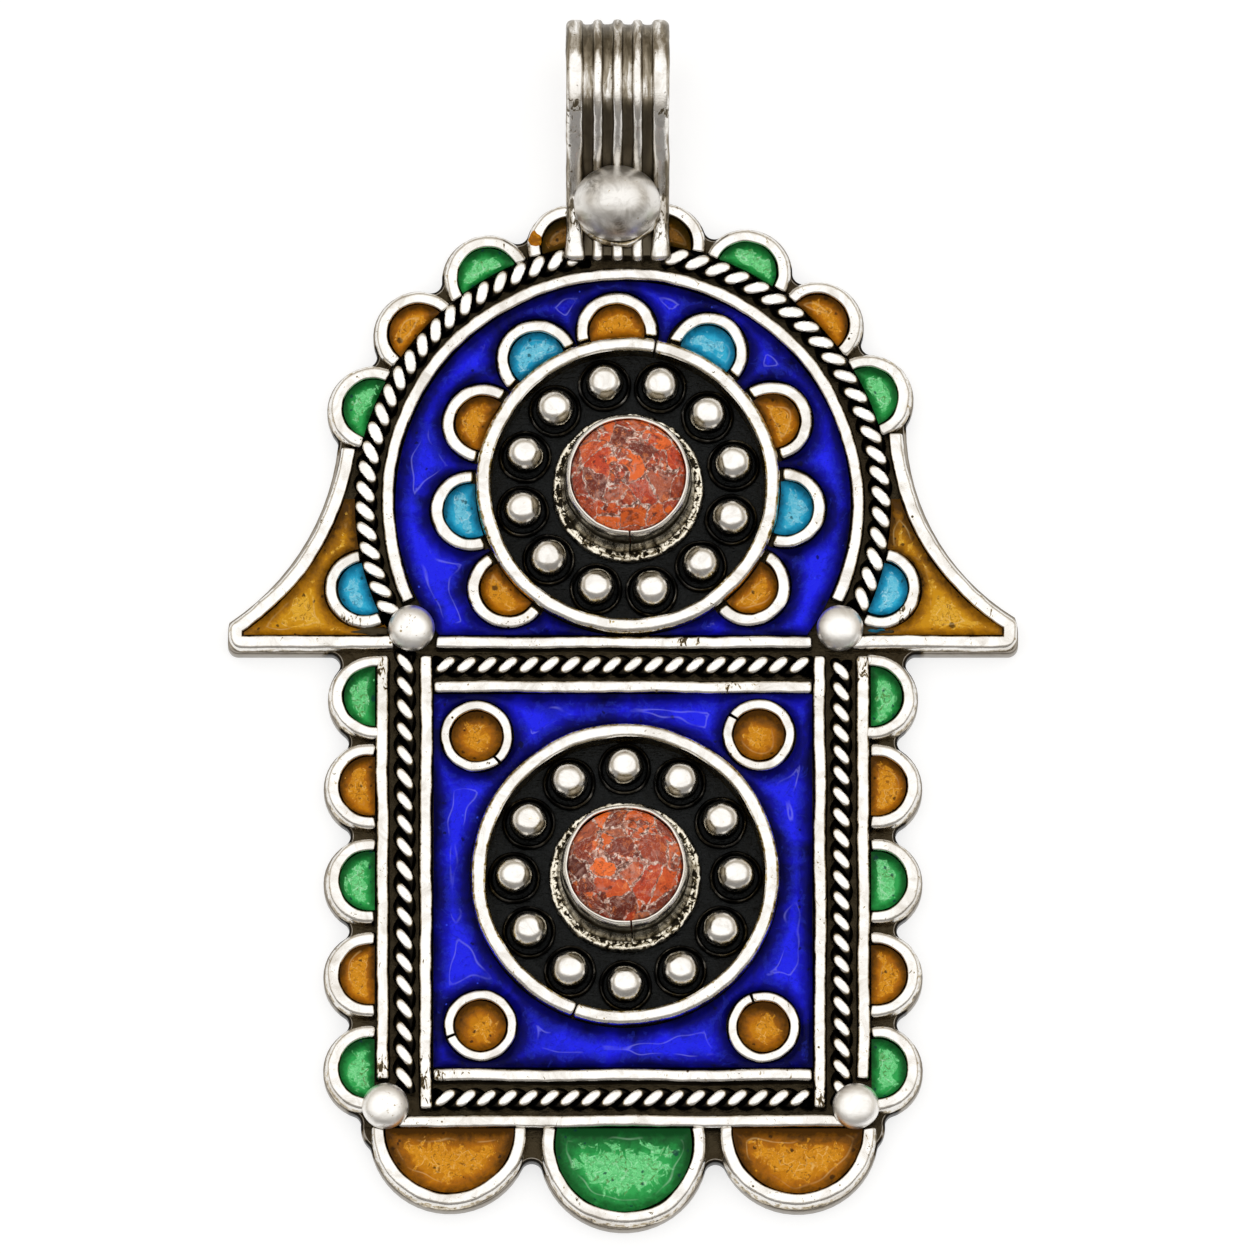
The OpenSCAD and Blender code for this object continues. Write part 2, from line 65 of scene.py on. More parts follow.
wireTop = 2.6
archCentre = Vector((0, 10.65, 0))
upperRosette = {"at": Vector((0.38, 11.95, 0)), "outer": 11.4, "granuleReach": 8.1, "first": 102.6,
                "seam": 79, "bezelSeam": -88}
lowerRosette = {"at": Vector((0.15, -17.85, 0)), "outer": 11.55, "granuleReach": 8.3, "first": 90.2,
                "seam": 250, "bezelSeam": -84}


# Materials

# For each kind of node: Blender's name for it, its settings, its inputs in the order in which values
# are given, with what they are otherwise, and its output.
grainInputs = {"Vector": None, "Scale": None, "Detail": 3.0, "Distortion": 0.0, "Roughness": 0.6}
kinds = {
    "place": ("TexCoord", {}, {}, "Object"),
    "around": ("TexCoord", {}, {}, "Generated"),
    "attribute": ("Attribute", {}, {}, "Fac"),
    "mapped": ("Mapping", {}, {"Vector": None, "Scale": None, "Rotation": None}, 0),
    "noise": ("TexNoise", {}, grainInputs, "Fac"),
    "swirl": ("TexNoise", {}, grainInputs, "Color"),
    "cells": ("TexVoronoi", {}, {"Vector": None, "Scale": None}, "Distance"),
    "seams": ("TexVoronoi", {"feature": "DISTANCE_TO_EDGE"}, {"Vector": None, "Scale": None},
              "Distance"),
    "between": ("MapRange", {}, {"Value": None, "From Min": None, "From Max": None, "To Min": 0.0,
                                 "To Max": 1.0}, 0),
    "mixed": ("Mix", {"data_type": "RGBA"}, {0: None, 6: None, 7: None}, 2),
    "either": ("Mix", {}, {0: None, 2: None, 3: None}, 0),
    "ramp": ("ValToRGB", {}, {0: None}, "Color"),
    "channels": ("SeparateColor", {}, {0: None}, 0),
    "axes": ("SeparateXYZ", {}, {0: None}, 0),
    "stretched": ("VectorMath", {"operation": "MULTIPLY"}, {0: None, 1: None}, 0),
    "distance": ("VectorMath", {"operation": "DISTANCE"}, {0: None, 1: None}, "Value"),
    "bump": ("Bump", {}, {"Height": None, "Strength": None, "Distance": None}, 0),
    "surface": ("BsdfPrincipled", {}, {"Base Color": None, "Roughness": None, "Normal": None,
                                       "Metallic": 0.0, "Specular IOR Level": 0.5}, 0),
    "glowing": ("BsdfPrincipled", {}, {"Base Color": None, "Roughness": None,
                                       "Emission Color": None, "Emission Strength": None}, 0),
    "output": ("OutputMaterial", {}, {"Surface": None}, None),
}
for kind, operation in (("+", "ADD"), ("-", "SUBTRACT"), ("*", "MULTIPLY"), ("below", "LESS_THAN"),
                        ("maximum", "MAXIMUM"), ("absolute", "ABSOLUTE"), ("sine", "SINE"),
                        ("arctangent", "ARCTAN2")):
    kinds[kind] = ("Math", {"operation": operation}, {0: None, 1: 0.0}, 0)


def linear(hexColour):
    # sRGB hex to the linear colour that a shader takes
    parts = [int(hexColour[i:i + 2], 16) / 255 for i in (1, 3, 5)]
    return (*[c / 12.92 if c <= 0.04045 else ((c + 0.055) / 1.055) ** 2.4 for c in parts], 1.0)


def adderFor(tree):
    # gives the function that adds a node to this tree and returns its output; a value is a plain
    # number or colour, or another node's output, which is linked in
    def add(kind, *values, stops=(), **settings):
        name, usual, inputs, output = kinds[kind]
        node = tree.nodes.new("ShaderNode" + name)
        for key, value in {**usual, **settings}.items():
            setattr(node, key, value)
        for key, value in {**inputs, **dict(zip(inputs, values))}.items():
            if isinstance(value, bpy.types.NodeSocket):
                tree.links.new(value, node.inputs[key])
            elif value is not None:
                node.inputs[key].default_value = value
        for i, (position, hexColour) in enumerate(stops):
            # a new ramp has two stops
            stop = node.color_ramp.elements[i] if i < 2 else node.color_ramp.elements.new(position)
            stop.position = position
            stop.color = linear(hexColour)
        return node.outputs[output] if node.outputs else None
    return add


def newMaterial(name):
    material = bpy.data.materials.new(name)
    material.use_nodes = True
    material.node_tree.nodes.clear()
    return material, adderFor(material.node_tree)


def grain(size):
    # a texture's scale, from the size of its lumps in millimetres
    return 1 / (size * mm)


def dotsAt(add, place, spacing, size, share):
    # round dots, on a given share of the cells
    cells = add("cells", place, grain(spacing))
    dot = add("between", cells, size, size * 1.5, 1.0, 0.0)
    return add("*", dot, add("below", add("channels", cells.node.outputs["Color"]), share))


# Silver that was dipped in sulphide and then rubbed bright wherever a cloth reaches: white on top,
# near black in the recesses, with a ragged brown and brassy edge between the two, and nicks and pits
# that kept their black.
silverLook = {"silver": "#ebe8e3", "brass": "#b9a886", "brown": "#51442f", "patina": "#211e1a",
              "blotch": "#c0b8ac", "blotches": 0.6, "ragged": 0.8, "raggedGrain": 0.5,
              "softness": 0.18, "pits": 0.85, "rough": 0.16, "patinaRough": 0.34, "bump": 0.3,
              "grainDepth": 0.05, "along": False, "damaged": [], "darkenedSpots": []}


def silverMaterial(name, look):
    material, add = newMaterial(name)
    place = add("place")
    streaked = add("mapped", place, (1.6, 0.3, 0.3)) if look["along"] else place
    ragged = add("-", add("noise", streaked, grain(look["raggedGrain"]), 5.0, 0.6), 0.5)
    bright = add("+", add("attribute", attribute_name="bright"), add("*", ragged, look["ragged"]))
    rubbed = add("between", bright, 0.5 - look["softness"], 0.5 + look["softness"])
    # nicks are ragged and 0.1 to 0.4 mm across, pits are round and smaller, and both come in groups
    grouped = add("between", add("noise", place, grain(3.0)), 0.5, 0.64)
    nicks = add("between", add("noise", place, grain(0.36), 3.0, 1.4, 0.5), 0.66, 0.685)
    pits = add("*", add("maximum", nicks, dotsAt(add, place, 0.8, 0.1, 0.3)), grouped)
    pits = add("*", pits, look["pits"])
    # damaged places and darkened spots are seen from above, so their height is left out
    flatPlace = add("stretched", place, (1, 1, 0))
    if look["damaged"]:
        scars = add("noise", add("mapped", place, (1.2, 0.5, 1)), grain(0.42), 4.0, 1.2, 0.55)
    for x, y, reach in look["damaged"]:
        away = add("distance", flatPlace, (x * mm, (y - middleY) * mm, 0))
        scarred = add("+", scars, add("between", away, 0, reach * mm, 0.16, -0.05))
        pits = add("maximum", pits, add("between", scarred, 0.62, 0.69, 0.0, 0.8))
    kept = add("-", rubbed, pits, use_clamp=True)
    colour = add("ramp", kept, stops=[(0.0, look["patina"]), (0.3, look["brown"]),
                                      (0.62, look["brass"]), (0.9, look["silver"])])
    blotches = add("noise", place, grain(1.6), 4.0, 0.8)
    blotches = add("between", blotches, 0.46, 0.74, 0.0, look["blotches"])
    colour = add("mixed", blotches, colour, linear(look["blotch"]), blend_type="MULTIPLY")
    # each darkened spot is multiplied darker; on the bail bead they are a painted reflection of the
    # lens and a painted shadow under it
    for x, y, reach in look["darkenedSpots"]:
        away = add("distance", flatPlace, (x * mm, (y - middleY) * mm, 0))
        darkening = add("*", add("between", away, 0.3 * reach * mm, reach * mm, 0.9, 0.0),
                   add("between", add("noise", place, grain(0.7), 5.0, 0.8), 0.36, 0.6))
        colour = add("mixed", darkening, colour, linear("#8a867f"), blend_type="MULTIPLY")
    # rubbing marks all run roughly one way
    marks = add("noise", add("mapped", place, (1, 6, 1), (0, 0, 0.5)), grain(0.9), 5.0)
    rough = add("+", add("between", kept, 0.3, 0.9, look["patinaRough"], look["rough"]),
                add("*", add("-", marks, 0.5), 0.16), use_clamp=True)
    relief = add("+", add("*", marks, 0.5), add("noise", place, grain(0.35), 4.0))
    relief = add("-", relief, add("*", pits, 2.0))
    bump = add("bump", relief, look["bump"], look["grainDepth"] * mm)
    add("output", add("surface", colour, rough, bump, 1.0))
    return material


# Glass enamel, wet packed, fired and rubbed: clear along the walls, with painted shade there and
# towards the top, cloudy and crackled in the middle, with dark specks, and a thin painted highlight,
# a glint, where the middle meets the rising rim.
def enamelMaterial(name, look):
    material, add = newMaterial(name)
    place = add("place")
    wall, inward, low = [add("attribute", attribute_name=key)
                         for key in ("wallDistance", "inward", "low")]
    cloud = add("noise", place, grain(look["cloudGrain"]), 4.0, 0.8)
    mottle = add("noise", place, grain(look["mottleGrain"]), 6.0, 0.6, 0.72)
    # painted shade: darker near the walls, in the edge and deep colours; the clouds vary it at random
    toned = add("between", wall if look["byDistance"] else inward, 0.0, look["paintedEdgeShade"])
    for wave, share in ((cloud, look["cloud"]), (mottle, look["mottle"])):
        toned = add("+", toned, add("*", add("-", wave, 0.5), share))
    # painted light and shade: lighter towards the foot of the pendant, darker towards the top
    toned = add("+", toned, add("*", low, look["paintedLightTowardsFoot"]), use_clamp=True)
    colour = add("ramp", toned, stops=[(0.0, look["edge"]), (0.35, look["deep"]),
                                       (0.75, look["body"]), (1.0, look["bright"])])
    # the cloudy middle: undissolved grains, pale flecks and hair cracks
    broad = add("-", add("noise", place, grain(look["patchGrain"]), 3.0, 1.5), 0.5)
    reach = add("+", inward, add("*", broad, look["patchRagged"]))
    patch = add("between", reach, look["patchFrom"], look["patchFrom"] + 0.09)
    sugar = add("noise", place, grain(0.32), 7.0, 1.4, 0.8)
    sugar = add("*", patch, add("between", sugar, 0.42, 0.58, 0.3, 1.0))
    hollows = add("between", add("noise", place, grain(0.6), 5.0, 1.8, 0.65), 0.55, 0.62)
    flecks = add("between", add("noise", place, grain(0.16)), 0.6, 0.7)
    bent = add("mixed", 0.0006, place, add("swirl", place, grain(10 / 9), 3.0, 0.0, 0.5))
    cracks = add("between", add("seams", bent, grain(0.7)), 0.01, 0.06, 1.0, 0.0)
    cracks = add("*", add("*", cracks, patch), add(
        "between", add("noise", place, grain(0.9)), 0.48, 0.62, 0.0, look["cracks"]))
    ragged = add("mixed", 0.0003, place, add("swirl", place, grain(2 / 7), 2.0, 0.0, 0.5))
    specks = add("maximum", dotsAt(add, ragged, 0.7, 0.15, look["specks"]),
                 dotsAt(add, ragged, 1.9, 0.1, look["specks"]))
    # the glint is a painted highlight, running a fairly steady way in from every wall in long smooth
    # lines
    wander = add("*", add("-", add("noise", place, grain(3.5), 1.0), 0.5), look["wander"])
    offLine = add("absolute", add("-", add("+", wall, wander), look["glintAt"]))
    glint = add("*", add("between", offLine, 0.0, 0.09, 1.0, 0.0), add(
        "between", add("noise", place, grain(3.0), 2.0), look["broken"], look["broken"] + 0.14))
    for share, hexColour in (
            (add("*", sugar, look["patch"]), look["light"]),
            (add("*", add("*", hollows, patch), look["hollows"]), look["hollow"]),
            (add("*", add("*", flecks, patch), look["flecks"]), look["crack"]),
            (cracks, look["crack"]),
            (add("*", specks, 0.8), look["speck"]),
            (add("*", dotsAt(add, place, 1.1, 0.07, look["bubbles"]), 0.7), look["light"]),
            (add("*", glint, look["glint"]), look["glintColour"])):
        colour = add("mixed", share, colour, linear(hexColour))
    bump = add("bump", add("+", cloud, add("*", sugar, 0.4)), 0.22, 0.05 * mm)
    add("output", add("surface", colour, 0.14, bump, 0.0, look["gloss"]))
    return material


# Chips of coral pressed into resin and ground to one dome: angular orange to red-brown pieces one
# to two millimetres across, each with fine pale rings inside its edge, set in pinkish grey resin
# full of crushed grains, with some dark cracks.
def coralMaterial():
    material, add = newMaterial("reconstitutedCoral")
    place = add("place")
    swirl = add("swirl", place, grain(10 / 7), 4.0)
    bent = add("mixed", 0.0011, place, swirl)
    # in some places the chips are crushed small
    crushed = add("between", add("noise", place, grain(2.6), 3.0, 1.0), 0.57, 0.59)
    tones, owns, edges = [], [], []
    for spacing in (1.9, 0.85):
        own = add("channels", add("cells", bent, grain(spacing)).node.outputs["Color"])
        tones.append(add("ramp", own, stops=[
            (0.0, "#4c1a10"), (0.18, "#842a10"), (0.36, "#c03c14"), (0.52, "#96341a"),
            (0.68, "#f06c1e"), (0.84, "#c64a1c"), (1.0, "#9a5840")]))
        owns.append(own.node.outputs[1])
        edges.append(add("*", add("seams", bent, grain(spacing)), spacing))
    colour = add("mixed", crushed, *tones)
    seam = add("either", crushed, *edges)
    # each chip is darker to one side and cloudy inside
    cloudy = add("noise", add("mixed", 0.003, place, swirl), grain(0.8), 6.0, 1.0, 0.65)
    # pale rings follow the chip's edge, and are strong in some chips only
    rings = add("absolute", add("sine", add("+", add("*", seam, 8.0), add("*", cloudy, 26.0))))
    ringed = add("*", add("between", rings, 0.0, 0.3, 1.0, 0.0),
                 add("between", add("either", crushed, *owns), 0.3, 0.6, 0.1, 0.95))
    crumbs = add("noise", place, grain(0.3), 6.0, 1.2, 0.7)
    width = add("between", add("noise", place, grain(1.3)), 0.42, 0.68, 0.02, 0.13)
    resin = add("-", add("+", seam, add("*", add("-", crumbs, 0.5), 0.22)), width)
    resin = add("between", resin, 0.0, 0.03, 1.0, 0.0)
    pale = add("ramp", add("noise", place, grain(0.34), 5.0, 0.8), stops=[
        (0.36, "#5a3024"), (0.44, "#94604e"), (0.52, "#c8a08e"), (0.6, "#f0dcd0")])
    haze = add("noise", place, grain(1.1), 5.0, 1.2, 0.65)
    cracks = add("*", add("between", seam, 0.0, 0.035, 1.0, 0.0),
                 add("between", add("noise", place, grain(1.2)), 0.47, 0.53))
    for share, over in (
            (add("between", cloudy, 0.53, 0.63, 0.0, 0.8), linear("#4a180e")),
            (add("between", cloudy, 0.46, 0.36, 0.0, 0.6), linear("#f48c4a")),
            (add("*", add("maximum", resin, ringed), 0.9), pale),
            (add("between", haze, 0.53, 0.66, 0.0, 0.4), linear("#cfa393")),
            (add("*", cracks, 0.9), linear("#2c100a"))):
        colour = add("mixed", share, colour, over)
    bump = add("bump", add("-", crumbs, add("*", cracks, 2.0)), 0.35, 0.06 * mm)
    add("output", add("surface", colour, 0.34, bump, 0.0, 0.3))
    return material


silverLooks = {
    "wire": ("rubbedSilverWire", {"damaged": [
        (-17.9, -2.2, 2.0), (17.9, -2.0, 1.8), (-15.2, -33.8, 4.2), (14.7, -34.6, 2.0),
        (-18.2, -32.5, 2.0), (4.5, 0.2, 1.6), (-20.6, 1.6, 1.6), (8.0, -3.4, 1.4),
        (20.8, 2.2, 1.4)]}),
    "rope": ("rubbedTwistedWire", {
        "ragged": 0.22, "pits": 0.25, "blotches": 0.2, "patina": "#2f2b25", "brown": "#6a5f4c",
        "patinaRough": 0.24}),
    "ring": ("rubbedRingWire", {
        "brass": "#b9a264", "brown": "#5e4c26", "ragged": 1.2, "softness": 0.24}),
    "granule": ("cappedGranule", {
        "ragged": 1.5, "raggedGrain": 0.6, "brass": "#e4d3a0", "brown": "#4c3c22",
        "patina": "#151311", "softness": 0.08, "pits": 0.3, "rough": 0.19, "patinaRough": 0.2,
        "blotches": 0.5}),
    "bead": ("burnishedBead", {"silver": "#f6f4f0", "rough": 0.38, "pits": 0.45, "blotches": 0.4}),
    # darkened spots: a painted reflection of the lens at the bead's lower middle, a painted shadow on
    # the collar under it, and a duller patch on its upper left
    "bailBead": ("satinBailBead", {
        "silver": "#e6e3de", "rough": 0.4, "pits": 0.7, "blotch": "#a8a39b", "blotches": 0.7,
        "darkenedSpots": [(-0.3, 31.1, 0.8), (-0.3, 29.9, 0.6), (-2.3, 34.2, 1.0)]}),
    "plate": ("sawnSilverPlate", {
        "silver": "#968f85", "brass": "#7b7366", "rough": 0.36, "pits": 0.5}),
    "recess": ("blackenedFloor", {
        "silver": "#232424", "brass": "#1e1e1d", "brown": "#191917", "patina": "#151413",
        "blotches": 0.6, "pits": 0.0, "rough": 0.36, "patinaRough": 0.36, "bump": 1.0,
        "grainDepth": 0.16}),
    "web": ("brownPatinatedPlate", {
        "silver": "#3c3426", "brass": "#363022", "brown": "#2c261b", "patina": "#201b13",
        "blotches": 0.9, "pits": 0.0, "rough": 0.32, "bump": 0.9, "grainDepth": 0.1}),
    "cup": ("patinatedCup", {
        "silver": "#85827c", "brass": "#4c4a46", "brown": "#242220", "patina": "#131211",
        "ragged": 0.9, "raggedGrain": 0.8, "pits": 0.0, "rough": 0.24, "softness": 0.3}),
    "bezel": ("bezelStrip", {
        "silver": "#e2ddd3", "brass": "#8f8367", "brown": "#5c5138", "patina": "#2a261d",
        "ragged": 0.35, "softness": 0.3, "rough": 0.24, "pits": 0.4, "blotches": 0.5}),
    "foot": ("bezelFoot", {
        "silver": "#eae3d2", "brass": "#9a8a68", "brown": "#4a3f28", "patina": "#1e1a13",
        "ragged": 2.6, "raggedGrain": 0.4, "pits": 0.9, "softness": 0.08, "rough": 0.24,
        "bump": 0.7}),
    "bail": ("bailStrap", {
        "brass": "#978d7c", "brown": "#665d4c", "patina": "#574f41", "ragged": 1.0,
        "raggedGrain": 0.7, "softness": 0.32, "rough": 0.2, "patinaRough": 0.4, "along": True,
        "damaged": [(-4.0, 39.6, 1.3), (3.2, 39.3, 1.1), (-4.1, 32.6, 2.4), (3.4, 32.4, 2.6)]}),
}
poolLook = {"byDistance": False, "cloudGrain": 1.5, "mottleGrain": 0.6, "paintedEdgeShade": 0.6,
            "cloud": 1.0, "mottle": 1.1, "paintedLightTowardsFoot": 0.25, "patchGrain": 1.3, "patchRagged": 1.7,
            "patchFrom": 0.5, "patch": 0.95, "hollows": 0.75, "flecks": 0.55, "cracks": 0.5,
            "specks": 0.34, "bubbles": 0.1, "glintAt": 0.7, "glint": 0.34, "wander": 2.0,
            "broken": 0.5, "gloss": 0.1}
enamelLooks = {
    "enamel_blue": ("cobaltEnamel", {
        "byDistance": True, "cloudGrain": 4.5, "mottleGrain": 1.0, "paintedEdgeShade": 1.5, "cloud": 1.6,
        "mottle": 0.5, "paintedLightTowardsFoot": 0.0, "patch": 0.16, "patchFrom": 0.35, "hollows": 0.3,
        "flecks": 0.08, "cracks": 0.0, "specks": 0.14, "bubbles": 0.14, "glintAt": 1.3,
        "glint": 0.45, "wander": 2.6, "broken": 0.44, "gloss": 0.04, "edge": "#04043a",
        "deep": "#0a0a70", "body": "#1515bc", "bright": "#1f1fee", "light": "#3a50f0",
        "crack": "#5060e8", "speck": "#09092c", "glintColour": "#8c8cf0", "hollow": "#08085c"}),
    "enamel_green": ("copperGreenEnamel", {
        "edge": "#0f4c20", "deep": "#15682c", "body": "#228e41", "bright": "#30a450",
        "light": "#7ce092", "crack": "#c8f4d0", "speck": "#0a3434", "glintColour": "#bfeec8",
        "hollow": "#4c6e26"}),
    "enamel_amber": ("amberEnamel", {
        "edge": "#4c2e08", "deep": "#7a4a08", "body": "#a86408", "bright": "#c07a0c",
        "light": "#dc961e", "crack": "#f2c878", "speck": "#2a1a06", "glintColour": "#f0cc88",
        "gloss": 0.07, "hollow": "#764406"}),
    "golden_amber": ("goldenAmberEnamel", {
        "edge": "#4c3008", "deep": "#84560a", "body": "#b0760a", "bright": "#c98e12",
        "light": "#e4b038", "crack": "#f4d088", "speck": "#2a1a06", "glintColour": "#f4d898",
        "gloss": 0.07, "hollow": "#845408"}),
    "smoked_amber": ("smokedAmberEnamel", {
        "edge": "#2a2006", "deep": "#3c2a08", "body": "#57390a", "bright": "#7c5210",
        "light": "#9c6a24", "crack": "#b89060", "speck": "#1a1206", "glintColour": "#c0a070",
        "gloss": 0.07, "hollow": "#33220a", "patch": 0.6}),
    "enamel_turquoise": ("turquoiseEnamel", {
        "edge": "#0c546c", "deep": "#127aa0", "body": "#1d9ac2", "bright": "#32b0d4",
        "light": "#8cd8e8", "crack": "#d2f0f4", "speck": "#0c4450", "glintColour": "#c4eef6",
        "paintedLightTowardsFoot": 0.08, "patch": 0.7, "hollow": "#0e6c90"}),
}
materials = {"coral": coralMaterial()}
for key, (materialName, look) in silverLooks.items():
    materials[key] = silverMaterial(materialName, {**silverLook, **look})
for key, (materialName, look) in enamelLooks.items():
    materials[key] = enamelMaterial(materialName, {**poolLook, **look})
print("materials made")


# Mesh helpers

def move(bm, way):
    bmesh.ops.translate(bm, verts=bm.verts, vec=way)


def stretch(bm, sizes):
    bmesh.ops.scale(bm, verts=bm.verts, vec=sizes)


def turnRound(bm, angle, axis):
    bmesh.ops.rotate(bm, verts=bm.verts, cent=(0, 0, 0), matrix=Matrix.Rotation(angle, 3, axis))


def allOf(bm):
    return bm.verts[:] + bm.edges[:] + bm.faces[:]


def ease(value, start, end):
    # goes from 0 to 1 as the value goes from start to end
    return min(1.0, max(0.0, (value - start) / (end - start)))


def makePiece(name, bm, material, slotName="silver", nodes=("silver_body",), sharpFrom=40):
    move(bm, (0, -middleY, 0))
    stretch(bm, (mm, mm, mm))
    mesh = bpy.data.meshes.new(name)
    bm.to_mesh(mesh)
    bm.free()
    mesh.shade_smooth()
    mesh.set_sharp_from_angle(angle=math.radians(sharpFrom))
    mesh.materials.append(materials[material])
    piece = bpy.data.objects.new(name, mesh)
    bpy.context.scene.collection.objects.link(piece)
    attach(piece, "root")
    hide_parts(*nodes)
    return piece


def copyOf(node):
    # a merged copy of a CAD node's mesh
    bm = bmesh.new()
    bm.from_mesh(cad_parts[node].data)
    bmesh.ops.remove_doubles(bm, verts=bm.verts, dist=1e-6)
    stretch(bm, (1 / mm, 1 / mm, 1 / mm))
    move(bm, (0, middleY, 0))
    return bm


def newMesh():
    bm = bmesh.new()
    return bm, bm.verts.layers.float.new("bright")


def newBall(radius, segments, rings):
    bm, layer = newMesh()
    bmesh.ops.create_uvsphere(bm, u_segments=segments, v_segments=rings, radius=radius)
    return bm, layer


def gather(parts):
    whole, layer = newMesh()
    for part in parts:
        bmesh.ops.recalc_face_normals(part, faces=part.faces)
        mesh = bpy.data.meshes.new("part")
        part.to_mesh(mesh)
        part.free()
        whole.from_mesh(mesh)
        bpy.data.meshes.remove(mesh)
    return whole


def wearDown(bm, amount, size, seed, level=1.0):
    # hand work moves neighbouring places alike; level says how much of it goes up and down
    offset = Vector((seed * 17.3, seed * 5.1, seed * 3.7))
    for v in bm.verts:
        shift = noise.noise_vector(v.co / size + offset) * amount
        shift.z *= level
        v.co += shift


def wireSection(width, inner=0.0, outer=0.0, top=wireTop, edges=(0.26, 0.26), low=1.1, foot=0.05):
    # across a flat wire: (way out, height, how bright), rubbed flat on top with its edges worn
    # round, first the inner and then the outer one
    half = width / 2
    points = []
    for side, bright, edge in ((1, outer, edges[1]), (-1, inner, edges[0])):
        run = [(half + foot, low, bright * 0.7), (half + foot, 1.6, bright * 0.75),
               (half + foot * 0.7, 1.95, bright * 0.8), (half, top - edge, 0.12 + bright * 0.75)]
        for degrees, polish in ((18, 0.24), (36, 0.4), (54, 0.58), (74, 0.95)):
            a = math.radians(degrees)
            run.append((half - edge + edge * math.cos(a), top - edge + edge * math.sin(a),
                        max(polish, bright)))
        run.append((max(0.02, half - edge) * 0.4, top + 0.01, 1.2))
        points += [(side * u, z, b) for u, z, b in (run if side > 0 else reversed(run))]
    return points


def layOut(bm, layer, section, at, across):
    # puts a section up at one place, across the way, and returns its edges
    verts = []
    for u, z, bright in section:
        vert = bm.verts.new(at + across * u + Vector((0, 0, z)))
        vert[layer] = bright
        verts.append(vert)
    return [bm.edges.new((a, b)) for a, b in zip(verts, verts[1:] + verts[:1])]


def closeEnds(bm, worn):
    rims = [e for e in bm.edges if e.is_boundary]
    bmesh.ops.holes_fill(bm, edges=rims, sides=0)
    if worn:
        bmesh.ops.bevel(bm, geom=[e for e in rims if e.calc_face_angle(0) > 0.8], affect="EDGES",
                        offset=worn, segments=3, profile=0.5, material=-1)


def carryOn(edges, steps, centre=(0, 0, 0), degrees=0, way=(0, 0, 0), axis=(1, 0, 0)):
    # carries a section on, round a centre or along a straight way, and returns its last place
    made = bmesh.ops.spin(bm, geom=edges, cent=centre, axis=axis, steps=steps,
                          angle=math.radians(degrees), dvec=Vector(way) / steps)
    return [g for g in made["geom_last"] if isinstance(g, bmesh.types.BMEdge)]


def arcWire(section, centre, r, start=0.0, end=360.0, spacing=0.22, worn=0.18):
    # a positive way out in the section is away from the centre
    bm, layer = newMesh()
    edges = layOut(bm, layer, section, centre + polar(r, start), polar(1, start))
    full = abs(end - start) >= 360
    steps = math.ceil(abs(math.radians(end - start)) * r / spacing)
    bmesh.ops.spin(bm, geom=edges, cent=centre, axis=(0, 0, 1), steps=steps, use_merge=full,
                   angle=math.radians(end - start), dvec=(0, 0, 0))
    if full:
        bmesh.ops.remove_doubles(bm, verts=bm.verts, dist=0.001)
    else:
        closeEnds(bm, worn)
    return bm


def openLoop(section, at, r, way, spread):
    return arcWire(section, at, r, way - spread, way + spread)


def straightWire(section, start, end, spacing=0.3, worn=0.27):
    # a positive way out in the section is to the left of the way from start to end
    bm, layer = newMesh()
    start = Vector((*start, 0))
    way = Vector((*end, 0)) - start
    edges = layOut(bm, layer, section, start, Vector((-way.y, way.x, 0)).normalized())
    steps = math.ceil(way.length / spacing)
    bmesh.ops.spin(bm, geom=edges, cent=start, axis=(0, 0, 1), steps=steps, angle=0,
                   dvec=way / steps)
    closeEnds(bm, worn)
    return bm


def finishWires(name, parts, wave, waveSize, dentSize, seed, above=2.3, material="wire"):
    # long waves from the hammer and small dents from wear
    bm = gather(parts)
    wearDown(bm, wave, waveSize, seed, 0.3)
    wearDown(bm, 0.05, dentSize, seed + 1, 0.5)
    # upper edges facing the foot of the pendant are made bright and the others keep their brown; that
    # one-sided brown is a painted golden reflection
    bm.normal_update()
    layer = bm.verts.layers.float["bright"]
    for v in bm.verts:
        if v.co.z > above and v.normal.y < -0.3:
            v[layer] = max(v[layer], 0.85)
    makePiece(name, bm, material)


# The plate is the model's own outline, cut out just above the strap's back leg
plate = {"thick": 1.4, "sliceAt": 1.15, "slice": 0.01, "bailFrom": 36, "join": 0.05, "edge": 0.14,
         "lip": 0.1, "broadSides": 100, "broadBright": 0.8, "notchBend": -0.08, "notchReach": 0.3}
bm = copyOf("silver_body")
bmesh.ops.bisect_plane(bm, geom=allOf(bm), plane_co=(0, 0, plate["sliceAt"]), plane_no=(0, 0, 1),
                       clear_outer=True)
bmesh.ops.bisect_plane(bm, geom=allOf(bm), plane_co=(0, 0, plate["sliceAt"] - plate["slice"]),
                       plane_no=(0, 0, 1), clear_inner=True)
unused = [v for v in bm.verts if v.co.y > plate["bailFrom"]
          or v.co.z < plate["sliceAt"] - plate["slice"] / 2]
bmesh.ops.delete(bm, geom=unused, context="VERTS")
bmesh.ops.delete(bm, geom=bm.faces[:], context="FACES_ONLY")
bmesh.ops.remove_doubles(bm, verts=bm.verts, dist=plate["join"])
bmesh.ops.contextual_create(bm, geom=bm.edges[:])
layer = bm.verts.layers.float.new("bright")
move(bm, (0, 0, -plate["sliceAt"]))
grown = bmesh.ops.extrude_face_region(bm, geom=bm.faces[:])["geom"]
raised = [g for g in grown if isinstance(g, bmesh.types.BMVert)]
bmesh.ops.translate(bm, vec=(0, 0, plate["thick"]), verts=raised)
bmesh.ops.recalc_face_normals(bm, faces=bm.faces)
